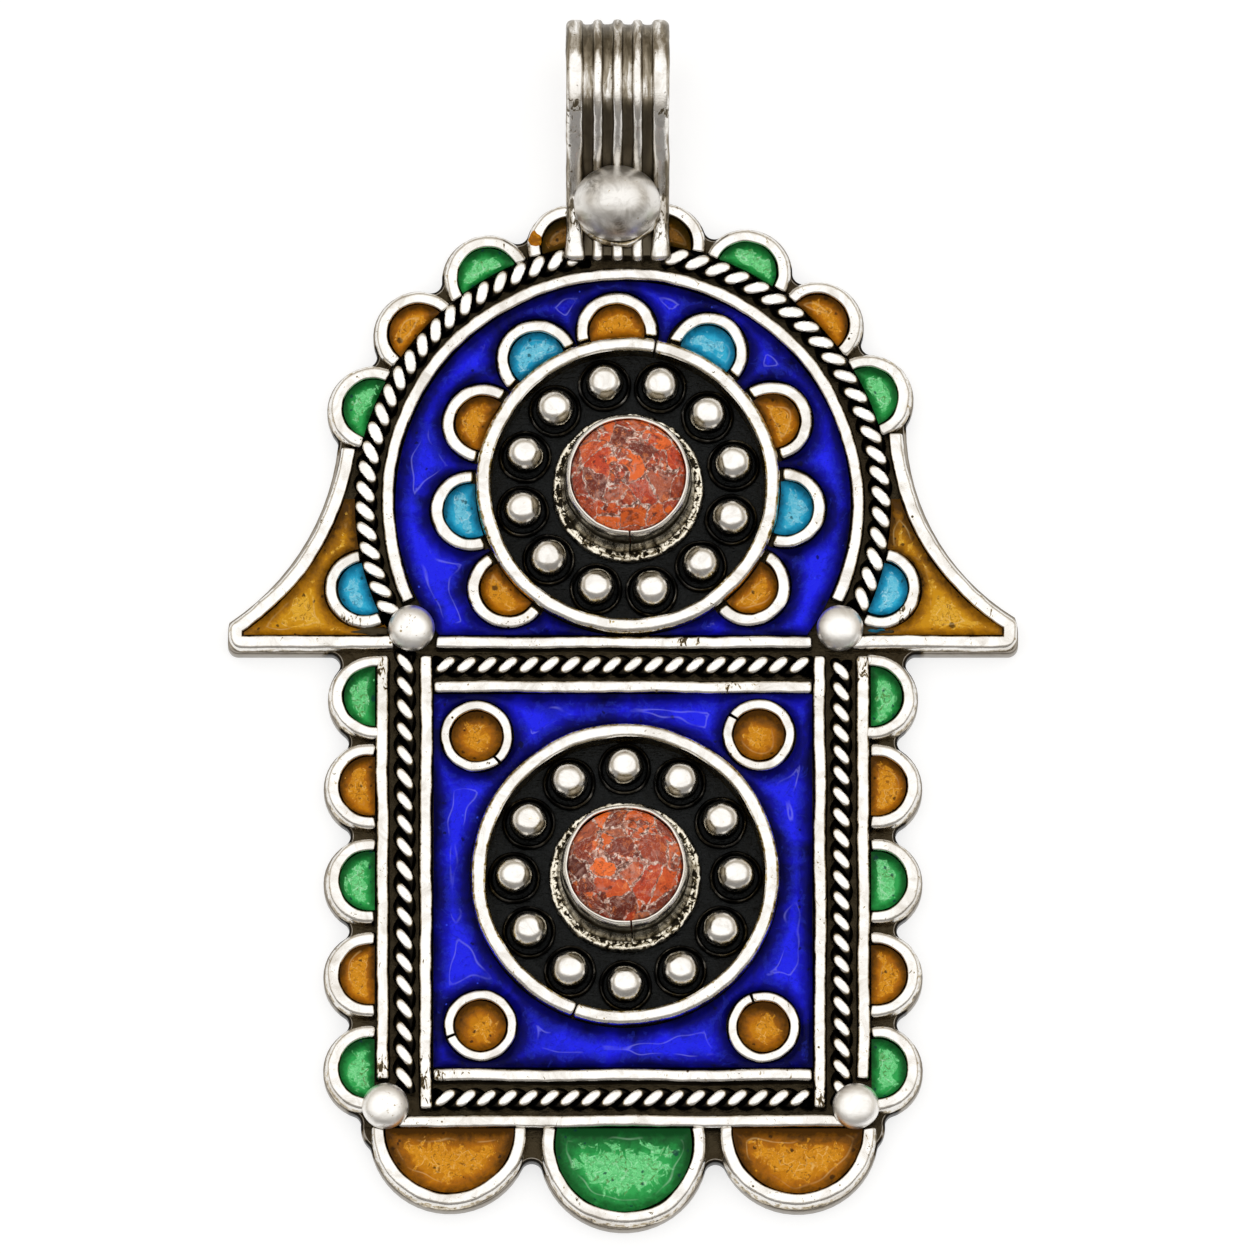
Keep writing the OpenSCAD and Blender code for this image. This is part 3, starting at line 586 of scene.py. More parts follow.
rim = [e for e in bm.edges if abs(e.verts[0].co.z - e.verts[1].co.z) < 0.001 and not any(
    f.normal.z ** 2 < 0.5 and len(f.verts) > 4 for f in e.link_faces) and e.calc_face_angle(0) > 1]
bmesh.ops.bevel(bm, geom=rim, affect="EDGES", offset=plate["edge"], segments=2, profile=0.5,
                material=-1)
broad = [f for f in bm.faces if len(f.verts) > plate["broadSides"]]
bmesh.ops.inset_region(bm, faces=broad, thickness=plate["lip"], use_even_offset=True)
# the notches between the scallops kept their patina, and the rest of the edge is rubbed
notches = [(e.verts[0].co + e.verts[1].co) / 2 for e in bm.edges
           if e.calc_face_angle_signed(0) < plate["notchBend"]
           and abs(e.verts[0].co.z - e.verts[1].co.z) > 0.5]
tree = kdtree.KDTree(len(notches))
for i, spot in enumerate(notches):
    tree.insert((spot.x, spot.y, 0), i)
tree.balance()
for v in bm.verts:
    away = tree.find((v.co.x, v.co.y, 0))[2]
    v[layer] = min(1.0, 0.1 + max(0.0, away - plate["notchReach"]))
for face in bm.faces:
    if len(face.verts) > plate["broadSides"]:
        for v in face.verts:
            v[layer] = plate["broadBright"]
        face.material_index = 1 if face.normal.z > 0 else 0
makePiece("plate", bm, "plate").data.materials.append(materials["web"])
floors = {"inset": 0.7, "depth": 0.3, "under": 0.09, "bright": 0.9}
parts = []
for rosette in (upperRosette, lowerRosette):
    bm, layer = newMesh()
    r = rosette["outer"] - floors["inset"]
    bmesh.ops.create_cone(bm, cap_ends=True, segments=96, radius1=r, radius2=r, depth=floors["depth"])
    move(bm, rosette["at"] + Vector((0, 0, plate["thick"] - floors["under"])))
    for v in bm.verts:
        v[layer] = floors["bright"]
    parts.append(bm)
makePiece("rosetteFloors", gather(parts), "recess")
print("plate made")

# Straight wires: two columns each side, the crossbar, the two rails of the square, the foot wire
straight = {"width": 1.0, "columnTop": -1, "columns": ((18.0, -33.4), (14.75, -35.6)),
            "crossbar": (-14.1, 14.2), "rails": (-3.4, -33.05), "railX": 14.2, "foot": -36.55,
            "footX": (-16.8, 16.7)}
lines = [((side * x, straight["columnTop"]), (side * x, end))
         for side in (-1, 1) for x, end in straight["columns"]]
lines.append([(x, 0) for x in straight["crossbar"]])
lines += [[(x, y) for x in (-straight["railX"], straight["railX"])] for y in straight["rails"]]
lines.append([(x, straight["foot"]) for x in straight["footX"]])
flat = wireSection(straight["width"], edges=(0.34, 0.34))
finishWires("straightWires", [straightWire(flat, *line) for line in lines], 0.14, 6.0, 1.1, 1)

# Arch wire
arch = {"r": 17.65, "footY": 3.2, "width": 1.0}
footAngle = math.degrees(math.asin((arch["footY"] - archCentre.y) / arch["r"]))
archWire = arcWire(wireSection(arch["width"], edges=(0.34, 0.32)), archCentre, arch["r"], footAngle,
                   180 - footAngle)
finishWires("archWire", [archWire], 0.14, 6.0, 1.1, 3)

# Scallop wires round the outside, open towards the twisted wire, the columns and the foot wire
scallop = {"width": 0.95, "r": 2.8, "count": 8, "reach": 20.1, "first": 158.8, "step": 19.25}
loop = wireSection(scallop["width"], 0.0, 0.68, edges=(0.2, 0.42), foot=0.1)
parts = []
for i in range(scallop["count"]):
    way = scallop["first"] - i * scallop["step"]
    parts.append(openLoop(loop, archCentre + polar(scallop["reach"], way), scallop["r"], way, 94))
sideScallops = [(18.65, -4.15), (18.95, -11), (18.95, -18.25), (18.95, -25.4), (18.95, -32.55)]
for side, turned in ((-1, 180), (1, 0)):
    for x, y in sideScallops:
        parts.append(openLoop(loop, Vector((side * x, y, 0)), scallop["r"], turned, 98))
footScallops = [(-12.95, -37.2, 5.35), (0.05, -38.35, 5.65), (13.05, -37.2, 5.4)]
for x, y, r in footScallops:
    opening = math.degrees(math.asin((straight["foot"] - 0.45 - y) / r))
    parts.append(openLoop(loop, Vector((x, y, 0)), r, -90, 90 + opening))
wingScallop = {"x": 19.35, "y": 4.1, "r": 2.55}
loop = wireSection(scallop["width"], 0.0, 0.5, edges=(0.22, 0.36))
for side in (-1, 1):
    at = Vector((side * wingScallop["x"], wingScallop["y"], 0))
    out = math.degrees(math.atan2(at.y - archCentre.y, at.x))
    parts.append(openLoop(loop, at, wingScallop["r"], out, 99))
finishWires("scallopWires", parts, 0.12, 4.0, 1.0, 5)

# Wing wires: a concave arc that turns round the wing's tip and runs back along its foot
wings = {-1: {"x": 40.05, "y": 17.25, "r": 19.56, "end": 14.9},
         1: {"x": 38.57, "y": 16.8, "r": 18.11, "end": 16.0}}
wing = {"tipX": 29.55, "width": 1.05, "upperTurn": 0.15, "lowerTurn": 0.45, "footEnd": 17.2,
        "spacing": 0.22, "footSpacing": 0.3, "worn": 0.12}
section = wireSection(wing["width"], 0.0, 0.68, edges=(0.2, 0.42), foot=0.02)
parts = []
for side, arcOf in wings.items():
    # drawn for the right-hand wing and mirrored for the left
    at = Vector((arcOf["x"], arcOf["y"], 0))
    r = arcOf["r"]
    upper = wing["upperTurn"]
    lower = wing["lowerTurn"]
    uprightX = wing["tipX"] - wing["width"] / 2
    begin = 180 + math.degrees(math.asin((at.y - arcOf["end"]) / r))
    finish = 180 + math.degrees(math.acos((at.x - uprightX + upper) / (r + upper)))
    bm, layer = newMesh()
    edges = layOut(bm, layer, section, at + polar(r, begin), -polar(1, begin))
    steps = math.ceil(math.radians(finish - begin) * r / wing["spacing"])
    edges = carryOn(edges, steps, at, finish - begin, axis=(0, 0, 1))
    # the wire heads down and out here, and turns clockwise into the upright
    centre = at + polar(r + upper, finish)
    edges = carryOn(edges, 5, centre, 180 - finish, axis=(0, 0, 1))
    edges = carryOn(edges, 4, way=(0, lower - centre.y, 0))
    centre = Vector((centre.x + upper - lower, lower, 0))
    edges = carryOn(edges, 8, centre, -90, axis=(0, 0, 1))
    run = centre.x - wing["footEnd"]
    carryOn(edges, math.ceil(run / wing["footSpacing"]), way=(-run, 0, 0))
    closeEnds(bm, wing["worn"])
    if side < 0:
        bmesh.ops.mirror(bm, geom=allOf(bm), axis="X", merge_dist=-1)
        bmesh.ops.delete(bm, geom=[v for v in bm.verts if v.co.x > 0], context="VERTS")
    parts.append(bm)
finishWires("wingWires", parts, 0.1, 5.0, 1.0, 7)

# Petal wires round the upper rosette, and the four rings in the corners of the square
petal = {"r": 2.62, "reach": 11.9, "angles": (221, 189, 156, 125, 94, 60, 25, -8, -40)}
loop = wireSection(scallop["width"], 0.0, 0.5, edges=(0.2, 0.38))
parts = [openLoop(loop, upperRosette["at"] + polar(petal["reach"], way), petal["r"], way, 101)
         for way in petal["angles"]]
cornerRings = [(-10.95, -7.2, -50), (10.2, -7.1, 145), (10.5, -29.4, 110), (-10.65, -29.3, 200)]
cornerRing = {"r": 2.35, "width": 0.75, "gap": 2.2, "worn": 0.05}
loop = wireSection(cornerRing["width"], edges=(0.18, 0.26), foot=0.02)
for x, y, seam in cornerRings:
    parts.append(arcWire(loop, Vector((x, y, 0)), cornerRing["r"], seam + cornerRing["gap"],
                         seam + 360 - cornerRing["gap"], worn=cornerRing["worn"]))
finishWires("petalWires", parts, 0.1, 3.0, 0.9, 9)
print("wires made")

# Twisted wires: two strands wound round each other, then rubbed flat on top
twist = {"strandR": 0.43, "windR": 0.44, "axisZ": 1.82, "flatAt": 2.57, "waver": 0.05,
         "waverGrain": 2.5, "rubbedFrom": 0.13, "rubbedOver": 0.24, "sides": 16, "perTurn": 22}


def rope(step, count, place, seed, size=1.0):
    # place takes a point with x along the rope, y to its left, and returns where it goes
    windR = twist["windR"] * size
    turns = count / 2
    steps = round(twist["perTurn"] * turns)
    parts = []
    for strand in (0, 180):
        bm, layer = newMesh()
        bmesh.ops.create_circle(bm, segments=twist["sides"], radius=twist["strandR"] * size)
        # the circle faces along the strand, then moves out to its place in the winding
        turnRound(bm, math.pi / 2, "Y")
        turnRound(bm, math.atan2(2 * math.pi * windR, 2 * step), "Z")
        move(bm, (-0.5 * step, 0, windR))
        turnRound(bm, math.radians(90 + strand), "X")
        bmesh.ops.spin(bm, geom=bm.edges[:], cent=(0, 0, 0), axis=(1, 0, 0), steps=steps,
                       angle=-2 * math.pi * turns, dvec=(count * step / steps, 0, 0))
        closeEnds(bm, 0)
        parts.append(bm)
    whole = gather(parts)
    wearDown(whole, 0.03, 1.2, seed)
    layer = whole.verts.layers.float["bright"]
    for v in whole.verts:
        high = v.co.z + twist["axisZ"]
        waver = noise.noise(v.co / twist["waverGrain"] + Vector((seed * 9, 0, 0)))
        flatAt = twist["flatAt"] + twist["waver"] * waver
        v[layer] = 0.5 + (high - flatAt + twist["rubbedFrom"]) / twist["rubbedOver"]
        v.co.z = min(high, flatAt)
        v.co = place(v.co)
    return whole


archRopeR = 19.35


def roundTheArch(firstAngle, turning):
    def place(point):
        angle = firstAngle + turning * math.degrees(point.x / archRopeR)
        return archCentre + polar(archRopeR - turning * point.y, angle) + Vector((0, 0, point.z))
    return place


def along(x, y, heading):
    turn = Matrix.Rotation(math.radians(heading), 3, "Z")
    return lambda point: turn @ point + Vector((x, y, 0))


archStep = math.radians(1) * archRopeR
parts = [
    rope(4.52 * archStep, 24, roundTheArch(100.5, 1), 1, 1.09),
    rope(4.77 * archStep, 22, roundTheArch(78, -1), 2, 1.09),
    rope(1.76, 19, along(-16.35, -1.6, -90), 3),
    rope(1.6, 21, along(16.35, -2.2, -90), 4),
    rope(1.56, 18, along(-13.3, -1.72, 0), 5),
    rope(1.56, 18, along(-13.3, -34.8, 0), 6),
]
makePiece("twistedWires", gather(parts), "rope")
print("ropes made")

# Rosettes: ring, granules in wire cups, bezel and its foot ring, coral
granule = {"r": 1.45, "z": 2.5, "count": 12, "cupR": 1.82, "lean": 0.14, "capFrom": 0.34,
           "capOver": 0.2, "flatAt": 1.25, "flattened": 0.6}
ring = {"width": 1.15, "top": 3.3, "gap": 0.3, "worn": 0.16}
ringSection = wireSection(ring["width"], 0.6, 0.6, top=ring["top"], edges=(0.42, 0.46))
cupSection = [(0.19, 1.3, 0.0), (0.19, 1.7, 0.15), (0.13, 1.87, 0.4), (0.0, 1.95, 0.6),
              (-0.13, 1.87, 0.4), (-0.19, 1.7, 0.1), (-0.19, 1.3, 0.0)]
bezel = {"r": 4.55, "footR": 5.24, "coralR": 4.25, "coralTop": 8.3, "coralEdge": 6.4,
         "coralFoot": 1.6, "rings": 20}
bezelSection = [(0.52, 1.2, 0.2), (0.52, 2.0, 0.4), (0.46, 2.9, 0.58), (0.36, 3.7, 0.64),
                (0.28, 4.3, 0.68), (0.25, 4.6, 0.35), (0.2, 4.75, 0.3), (0.17, 5.4, 0.6),
                (0.15, 5.8, 0.66), (0.14, 5.95, 0.4), (0.13, 6.05, 0.7), (0.1, 6.35, 1.1),
                (0.02, 6.58, 1.2), (-0.1, 6.68, 1.2), (-0.2, 6.66, 1.1), (-0.26, 6.56, 0.9),
                (-0.24, 6.4, 0.4), (-0.2, 6.2, 0.2), (-0.2, 4.5, 0.2), (-0.2, 1.2, 0.0)]
footSection = [(0.5, 1.2, 0.0), (0.5, 1.62, 0.3), (0.47, 1.86, 0.6), (0.4, 2.02, 0.74),
               (0.3, 2.1, 0.72), (0.2, 2.12, 0.66), (0.12, 2.11, 0.54), (0.0, 2.1, 0.42),
               (-0.12, 2.14, 0.45), (-0.3, 2.3, 0.48), (-0.44, 2.4, 0.4), (-0.56, 2.5, 0.3),
               (-0.6, 2.5, 0.2), (-0.6, 1.2, 0.0)]
rings, cups, granules, bezels, feet = [], [], [], [], []
for rosette in (upperRosette, lowerRosette):
    at = rosette["at"]
    seam = rosette["seam"]
    rings.append(arcWire(ringSection, at, rosette["outer"] - ring["width"] / 2, seam + ring["gap"],
                         seam + 360 - ring["gap"], worn=ring["worn"]))
    for i in range(granule["count"]):
        spot = at + polar(rosette["granuleReach"], rosette["first"] - 30 * i)
        cups.append(arcWire(cupSection, spot, granule["cupR"], spacing=0.25))
        bm, layer = newBall(granule["r"], 36, 24)
        up = Vector((0, 0, 1)) + noise.noise_vector(spot * 1.7) * granule["lean"]
        for v in bm.verts:
            toCap = v.co.normalized().dot(up.normalized())
            v[layer] = 0.5 + (toCap - granule["capFrom"]) / granule["capOver"]
            over = v.co.z - granule["flatAt"]
            v.co.z = min(v.co.z, granule["flatAt"] + granule["flattened"] * over)
        move(bm, spot + Vector((0, 0, granule["z"])))
        granules.append(bm)
    seam = rosette["bezelSeam"]
    bezels.append(arcWire(bezelSection, at, bezel["r"], seam + 0.8, seam + 359.4, worn=0.04))
    feet.append(arcWire(footSection, at, bezel["footR"], spacing=0.11))
finishWires("rosetteRings", rings, 0.12, 5.0, 1.2, 11, 3.0, "ring")
# each line: name, parts, material, and how it is worn
for name, parts, material, wear in (
        ("granuleCups", cups, "cup", [(0.06, 1.5, 13)]),
        ("granules", granules, "granule", [(0.05, 1.0, 14)]),
        ("bezels", bezels, "bezel", [(0.09, 2.2, 15, 0.8), (0.035, 0.8, 21, 0.8)]),
        ("bezelFeet", feet, "foot", [(0.06, 0.9, 16, 0.6), (0.07, 0.3, 22)])):
    bm = gather(parts)
    for worn in wear:
        wearDown(bm, *worn)
    makePiece(name, bm, material)
rise = bezel["coralTop"] - bezel["coralEdge"]
domeR = (bezel["coralR"] ** 2 + rise ** 2) / (2 * rise)
for node, rosette in (("coral_upper", upperRosette), ("coral_lower", lowerRosette)):
    bm = bmesh.new()
    points = [(0, bezel["coralTop"])]
    for i in range(1, bezel["rings"] + 1):
        a = math.asin(bezel["coralR"] / domeR) * i / bezel["rings"]
        points.append((domeR * math.sin(a), bezel["coralTop"] - domeR * (1 - math.cos(a))))
    points += [(bezel["coralR"], bezel["coralFoot"]), (0, bezel["coralFoot"])]
    verts = [bm.verts.new((x, 0, z)) for x, z in points]
    edges = [bm.edges.new(pair) for pair in zip(verts, verts[1:])]
    bmesh.ops.spin(bm, geom=edges, cent=(0, 0, 0), axis=(0, 0, 1), steps=96, angle=2 * math.pi,
                   use_merge=True, dvec=(0, 0, 0))
    bmesh.ops.remove_doubles(bm, verts=bm.verts, dist=0.001)
    bmesh.ops.recalc_face_normals(bm, faces=bm.faces)
    move(bm, rosette["at"])
    makePiece(node + "_dome", bm, "coral", "coral", (node,))
print("rosettes made")

# Round beads where the wires meet at the four corners
cornerBeads = [(-15.85, 1.0), (16.25, 1.0), (-17.75, -35.5), (17.4, -35.5)]
cornerBead = {"r": 1.75, "z": 2.8, "flattened": 0.68}
parts = []
for x, y in cornerBeads:
    bm, layer = newBall(cornerBead["r"], 48, 32)
    for v in bm.verts:
        v[layer] = 0.5 + (v.co.z + 0.1) / 0.5
        # worn down to a low dome
        v.co.z *= cornerBead["flattened"]
    move(bm, (x, y, cornerBead["z"]))
    parts.append(bm)
beads = gather(parts)
wearDown(beads, 0.04, 1.2, 17)
makePiece("cornerBeads", beads, "bead")

# Bail: a strap with five ribs, bent from behind the plate over the top and down to its foot
bail = {"x": -0.4, "outerRib": 1.27, "innerRib": 0.75, "groove": 0.74, "ribR": 0.3, "edgeR": 0.5,
        "thick": 0.9, "bendY": 42.3, "bendR": 4.9, "slope": 46, "footTop": 3.4, "footZ": 1.2,
        "backY": 30.0, "frontY": 29.2, "easing": 0.9, "turnR": 0.45, "frontFrom": 1.5,
        "ribSpread": 0.22}
width = 2 * bail["outerRib"] + 3 * bail["innerRib"] + 4 * bail["groove"]
# across the strap, face down: (x, height, how bright)
profile = []
ribMiddles = []
x = -width / 2
ribs = [bail["outerRib"]] + [bail["innerRib"]] * 3 + [bail["outerRib"]]
for i, rib in enumerate(ribs):
    # a rib's edges are worn round, and the strap's own two edges more so
    left = bail["edgeR"] if i == 0 else bail["ribR"]
    right = bail["edgeR"] if i == 4 else bail["ribR"]
    rounding = [(math.radians(d), 0.4 + 0.008 * (90 - d)) for d in (82, 65, 45, 25, 5)]
    profile += [(x + left * (1 - math.sin(a)), left * (1 - math.cos(a)), bright)
                for a, bright in rounding]
    profile.append((x + (left + rib - right) / 2, -0.02, 1.2))
    profile += [(x + rib - right * (1 - math.sin(a)), right * (1 - math.cos(a)), bright)
                for a, bright in reversed(rounding)]
    ribMiddles.append((bail["x"] + x + rib / 2, rib / 2))
    x += rib
    if i < 4:
        for across, depth in ((0.06, 0.3), (0.2, 0.35), (0.5, 0.36), (0.8, 0.35), (0.94, 0.3)):
            profile.append((x + across * bail["groove"], depth, 0.0))
        x += bail["groove"]
profile += [(width / 2, bail["thick"] - 0.1, 1.0), (width / 2 - 0.1, bail["thick"], 1.0),
            (-width / 2 + 0.1, bail["thick"], 1.0), (-width / 2, bail["thick"] - 0.1, 1.0)]
bm, layer = newMesh()
edges = layOut(bm, layer, profile, Vector((bail["x"], bail["backY"], 0)), Vector((1, 0, 0)))
bend = Vector((0, bail["bendY"], bail["bendR"]))
slope = math.radians(bail["slope"])
# the way down the slope, and the way out from the strap's face there
down = Vector((0, -math.cos(slope), -math.sin(slope)))
outward = Vector((0, -math.sin(slope), math.cos(slope)))
drop = bail["bendR"] + bail["bendR"] * math.cos(slope) - bail["footTop"]
run = drop / math.sin(slope) - bail["easing"] * math.tan(slope / 2)
edges = carryOn(edges, 20, way=(0, bail["bendY"] - bail["backY"], 0))
edges = carryOn(edges, 60, bend, 180 + bail["slope"])
edges = carryOn(edges, 26, way=down * run)
easeCentre = bend + outward * (bail["bendR"] + bail["easing"]) + down * run
edges = carryOn(edges, 8, easeCentre, -bail["slope"])
turnAt = (0, bail["frontY"] + bail["turnR"], bail["footTop"] - bail["turnR"])
edges = carryOn(edges, 20, way=(0, turnAt[1] - easeCentre.y, 0))
edges = carryOn(edges, 6, turnAt, 90)
edges = carryOn(edges, 6, way=(0, 0, bail["footZ"] - turnAt[2]))
closeEnds(bm, 0)
bmesh.ops.recalc_face_normals(bm, faces=bm.faces)
front = [v for v in bm.verts if v.co.z > bail["frontFrom"]]
for v in front:
    y = v.co.y
    # brighter where it bends over, a painted reflection of the ceiling that lifts the grooves there;
    # darker behind the top, under the bead and at the foot
    bright = max(v[layer], 0.6 * ease(y, 39.0, 40.5))
    bright -= ease(y, 41.9, 44.1) * 0.55 * max(0.0, bright - 0.25)
    bright *= 1 - 0.36 * ease(y, 37.4, 35.9) * ease(y, 30.6, 32.0)
    v[layer] = bright * (1 - 0.28 * ease(y, 31.0, 30.2))
    # each rib widens where it ends
    flare = bail["ribSpread"] * ease(y, 31.2, 29.8)
    for ribX, half in ribMiddles:
        if flare > 0 and abs(v.co.x - ribX) < half + 0.01:
            v.co.x = ribX + (v.co.x - ribX) * (1 + flare)
wearDown(bm, 0.06, 2.5, 18)
wearDown(bm, 0.03, 0.8, 23)
makePiece("bailStrap", bm, "bail")

bailBead = {"r": 3.25, "x": -0.45, "y": 33.3, "z": 4.3, "capZ": 4.0, "footZ": 2.7,
            "flattened": (1, 0.88, 0.95), "collarR": 3.2, "collarY": 33.4}
bm, layer = newBall(bailBead["r"], 64, 48)
stretch(bm, bailBead["flattened"])
move(bm, (bailBead["x"], bailBead["y"], bailBead["z"]))
for v in bm.verts:
    v[layer] = 1.2 if v.co.z > bailBead["capZ"] else 0.2
    v.co.z = max(v.co.z, bailBead["footZ"])
wearDown(bm, 0.06, 2.0, 19)
# the collar is kept dark: partly its patina, partly a painted shadow under the bead
collarSection = [(0.0, 2.6, 0.0), (0.1, 3.0, 0.3), (0.05, 3.4, 0.55), (-0.1, 3.6, 0.6),
                 (-0.3, 3.65, 0.3), (-0.9, 3.6, 0.0), (-0.9, 2.6, 0.0)]
collar = arcWire(collarSection, Vector((bailBead["x"], bailBead["collarY"], 0)), bailBead["collarR"])
wearDown(collar, 0.16, 1.4, 20)
makePiece("bailBead", gather([bm, collar]), "bailBead")
print("bail made")

# Enamel pools: each is cut fine, dished, and knows how far every spot is from its walls
pool = {"grid": 0.24, "level": 1.92, "climb": 0.5, "rim": 0.9, "wallGrid": 0.08}
cornerTurn = math.radians(33)


def wallsOf(bm, topZ):
    # the top face's edge, split where it turns a corner
    rim = [e for e in bm.edges if e.verts[0].co.z > topZ and e.verts[1].co.z > topZ
           and e.calc_face_angle(0) > 1]
    walls = []
    left = dict.fromkeys(rim)
    while left:
        edge = left.popitem()[0]
        loop = [edge.verts[0], edge.verts[1]]
        while True:
            onward = [e for e in loop[-1].link_edges if e in left]
            if not onward:
                break
            del left[onward[0]]
            loop.append(onward[0].other_vert(loop[-1]))
        points = [v.co.copy() for v in loop]
        closed = (points[0] - points[-1]).length < 1e-4
        wall = [points[0]]
        loopWalls = [wall]
        for before, here, after in zip(points, points[1:], points[2:]):
            wall.append(here)
            if (here - before).angle(after - here, 0) > cornerTurn:
                wall = [here]
                loopWalls.append(wall)
        wall.append(points[-1])
        if closed and len(loopWalls) > 1:
            if (points[-1] - points[-2]).angle(points[1] - points[0], 0) < cornerTurn:
                loopWalls[0] = loopWalls.pop() + loopWalls[0]
        walls += loopWalls
    trees = []
    for wall in walls:
        dense = []
        for a, b in zip(wall, wall[1:]):
            count = max(1, math.ceil((b - a).length / pool["wallGrid"]))
            dense += [a.lerp(b, i / count) for i in range(count)]
        dense.append(wall[-1])
        tree = kdtree.KDTree(len(dense))
        for i, point in enumerate(dense):
            tree.insert(point, i)
        tree.balance()
        trees.append(tree)
    return trees


def addPoolLayers(bm):
    return [bm.verts.layers.float.new(name) for name in ("wallDistance", "inward", "low")]


def makePool(node, slotName, material):
    bm = copyOf(node)
    bmesh.ops.dissolve_limit(bm, angle_limit=0.005, verts=bm.verts, edges=bm.edges)
    topZ = max(v.co.z for v in bm.verts) - 0.01
    walls = wallsOf(bm, topZ)
    for axis, normal in enumerate(((1, 0, 0), (0, 1, 0))):
        low = min(v.co[axis] for v in bm.verts)
        high = max(v.co[axis] for v in bm.verts)
        count = math.ceil((high - low) / pool["grid"])
        for i in range(1, count):
            spot = Vector(normal) * (low + (high - low) * i / count)
            bmesh.ops.bisect_plane(bm, geom=allOf(bm), dist=0.002, plane_co=spot, plane_no=normal)
    wallLayer, inwardLayer, lowLayer = addPoolLayers(bm)
    top = [v for v in bm.verts if v.co.z > topZ]
    distances = [min(tree.find(v.co)[2] for tree in walls) for v in top]
    deepest = max(distances)
    ys = [v.co.y for v in top]
    middle = (max(ys) + min(ys)) / 2
    half = (max(ys) - min(ys)) / 2
    rim = min(pool["rim"], 0.75 * deepest)
    for v, distance in zip(top, distances):
        v[wallLayer] = distance
        v[inwardLayer] = distance / deepest
        v[lowLayer] = (middle - v.co.y) / half
        v.co.z = pool["level"] + pool["climb"] * max(0, 1 - distance / rim) ** 2
    makePiece(node + "_pool", bm, material, slotName, (node,), sharpFrom=60)


slots = {"enamel_arch": "enamel_blue", "enamel_square": "enamel_blue"}
for i in range(1, 9):
    slots[f"enamel_scallop_{i}"] = "enamel_green" if i in (1, 3, 6, 8) else "enamel_amber"
for i in range(1, 10):
    slots[f"enamel_petal_{i}"] = "enamel_amber" if i % 2 else "enamel_turquoise"
for side in ("left", "right"):
    for i in range(1, 6):
        slots[f"enamel_{side}_{i}"] = "enamel_green" if i % 2 else "enamel_amber"
    slots[f"enamel_wing_{side}"] = "enamel_amber"
    slots[f"enamel_wing_scallop_{side}"] = "enamel_turquoise"
    slots[f"enamel_foot_{side}"] = "enamel_amber"
slots["enamel_foot_middle"] = "enamel_green"
for i in range(1, 5):
    slots[f"enamel_corner_{i}"] = "enamel_amber"
# the two pools beside the bail are smoked brown, and the wings are more golden
shades = {"enamel_scallop_4": "smoked_amber", "enamel_scallop_5": "smoked_amber",
          "enamel_wing_left": "golden_amber", "enamel_wing_right": "golden_amber"}
for node, slotName in slots.items():
    makePool(node, slotName, shades.get(node, slotName))

# Enamel that ran over its wall: amber on the wire left of the bail, and a turquoise smear in the
# gap between the right wing's pool and the crossbar
spills = [
    {"name": "amberSpill", "node": "enamel_scallop_4", "slot": "enamel_amber",
     "at": (-6.65, 30.95, 2.52), "size": (0.48, 0.6, 0.2), "inward": 0.5},
    {"name": "turquoiseSmear", "node": "enamel_wing_scallop_right", "slot": "enamel_turquoise",
     "at": (19.0, 0.86, 2.46), "size": (0.7, 0.13, 0.13), "inward": 0.05}]
for spill in spills:
    bm = bmesh.new()
    wallLayer, inwardLayer, lowLayer = addPoolLayers(bm)
    bmesh.ops.create_uvsphere(bm, u_segments=32, v_segments=20, radius=1)
    stretch(bm, spill["size"])
    move(bm, spill["at"])
    wearDown(bm, 0.16, 0.5, 24)
    for v in bm.verts:
        v[wallLayer] = 2.0
        v[inwardLayer] = spill["inward"]
    makePiece(spill["name"], bm, spill["slot"], spill["slot"], (spill["node"],))
# solder that stands dark in the gap between each wing scallop and the crossbar
lump = {"x": 18.4, "y": 0.85, "z": 1.97, "size": (2.1, 0.5, 0.55), "bright": 0.9}
parts = []
for side in (-1, 1):
    bm, layer = newBall(1, 40, 24)
    stretch(bm, lump["size"])
    move(bm, (side * lump["x"], lump["y"], lump["z"]))
    for v in bm.verts:
        v[layer] = lump["bright"]
    parts.append(bm)
solder = gather(parts)
wearDown(solder, 0.12, 0.7, 25)
makePiece("wingSolder", solder, "web")
print("enamel made")

# Camera: the photograph looks down at 78 degrees from the foot of the pendant
view = {"elevation": 78, "distance": 2.4, "frameWidth": 94.05, "centreX": 0.3, "centreAcross": 1.65,
        "aimHeight": 1.3}
tilt = math.radians(90 - view["elevation"])
aimY = (view["centreAcross"] - view["aimHeight"] * math.sin(tilt)) / math.cos(tilt) - middleY
aim = Vector((view["centreX"], aimY, view["aimHeight"])) * mm
cameraData = bpy.data.cameras.new("camera")
cameraData.sensor_width = 36
cameraData.lens = 36 * view["distance"] / (view["frameWidth"] * mm)
cameraData.clip_start = 0.05
camera = bpy.data.objects.new("camera", cameraData)
camera.location = aim + Vector((0, -math.sin(tilt), math.cos(tilt))) * view["distance"]
camera.rotation_euler = (tilt, 0, 0)
bpy.context.scene.collection.objects.link(camera)
bpy.context.scene.camera = camera
bpy.context.scene.view_settings.view_transform = "Standard"

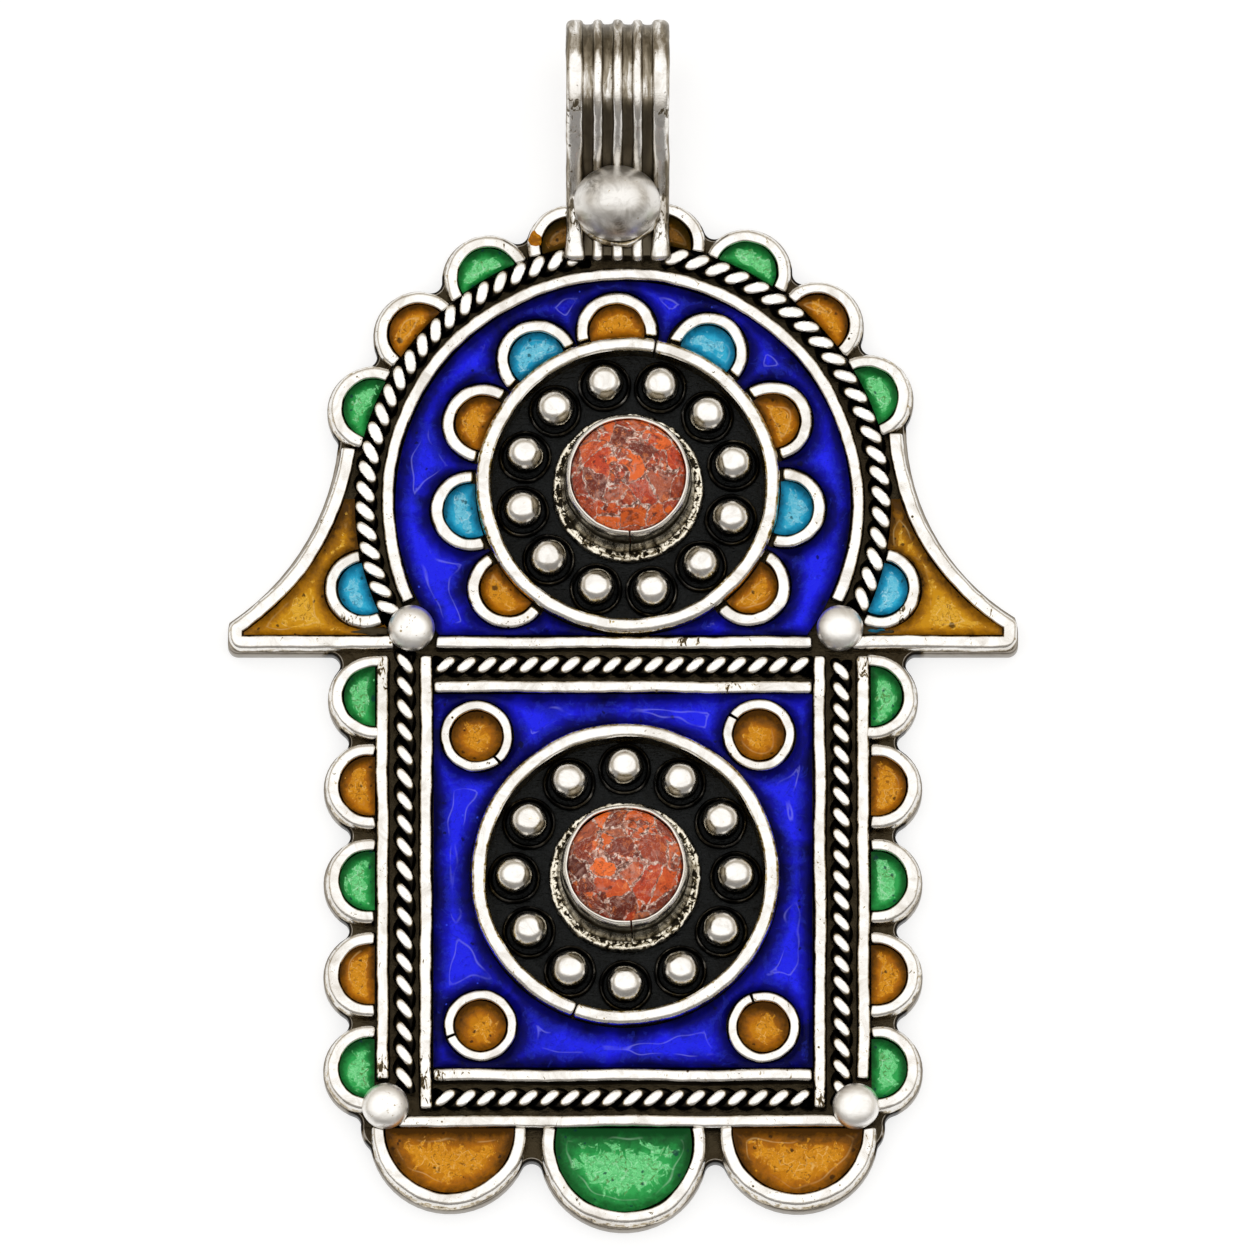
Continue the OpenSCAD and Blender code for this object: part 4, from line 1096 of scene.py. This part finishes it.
# Light: a wide white ceiling over the pendant, soft at its edges, in grey surroundings that the
# silver mirrors where it turns away
ceiling = {"radiance": 1.32, "behind": 0.52, "before": 0.34, "backward": (36, 72),
           "forward": (-46, -26), "side": (46, 80), "warm": "#fff4e2", "cool": "#f2efec",
           "turning": (-70, -20)}
world = bpy.data.worlds.new("studio")
bpy.context.scene.world = world
world.use_nodes = True
tree = world.node_tree
add = adderFor(tree)
x, y, z = add("axes", add("around")).node.outputs
lengthwise = add("arctangent", y, z)
sideways = add("arctangent", add("absolute", x), z)
edges = [add("between", angle, *[math.radians(degrees) for degrees in ceiling[key]], *ends,
             interpolation_type="SMOOTHSTEP")
         for angle, key, ends in ((lengthwise, "backward", (1.0, 0.0)),
                                  (lengthwise, "forward", (0.0, 1.0)),
                                  (sideways, "side", (1.0, 0.0)))]
lit = add("*", add("*", edges[0], edges[1]), edges[2])
# the surroundings are warm and lighter behind the pendant, and cooler and darker before it
turning = add("between", lengthwise, *[math.radians(degrees) for degrees in ceiling["turning"]])
around = add("between", turning, 0.0, 1.0, ceiling["before"], ceiling["behind"])
surroundings = add("mixed", turning, linear(ceiling["cool"]), linear(ceiling["warm"]))
background = tree.nodes["Background"]
tree.links.new(add("mixed", lit, surroundings, (1, 1, 1, 1)), background.inputs["Color"])
tree.links.new(add("between", lit, 0.0, 1.0, around, ceiling["radiance"]),
               background.inputs["Strength"])

floorMaterial, add = newMaterial("paleStudioPaper")
add("output", add("glowing", linear("#a8a8a8"), 0.9, (1, 1, 1, 1), 0.68))
floorMesh = bmesh.new()
bmesh.ops.create_grid(floorMesh, x_segments=1, y_segments=1, size=6)
floorData = bpy.data.meshes.new("floor")
floorMesh.to_mesh(floorData)
floorMesh.free()
floorData.materials.append(floorMaterial)
studioFloor = bpy.data.objects.new("floor", floorData)
# a hair below the plate's back and the bail's worn ribs, so that no two faces share a plane
floorDrop = 0.00007
studioFloor.location = (0, 0, cadLow.z - floorDrop)
bpy.context.scene.collection.objects.link(studioFloor)
print("camera and light placed")
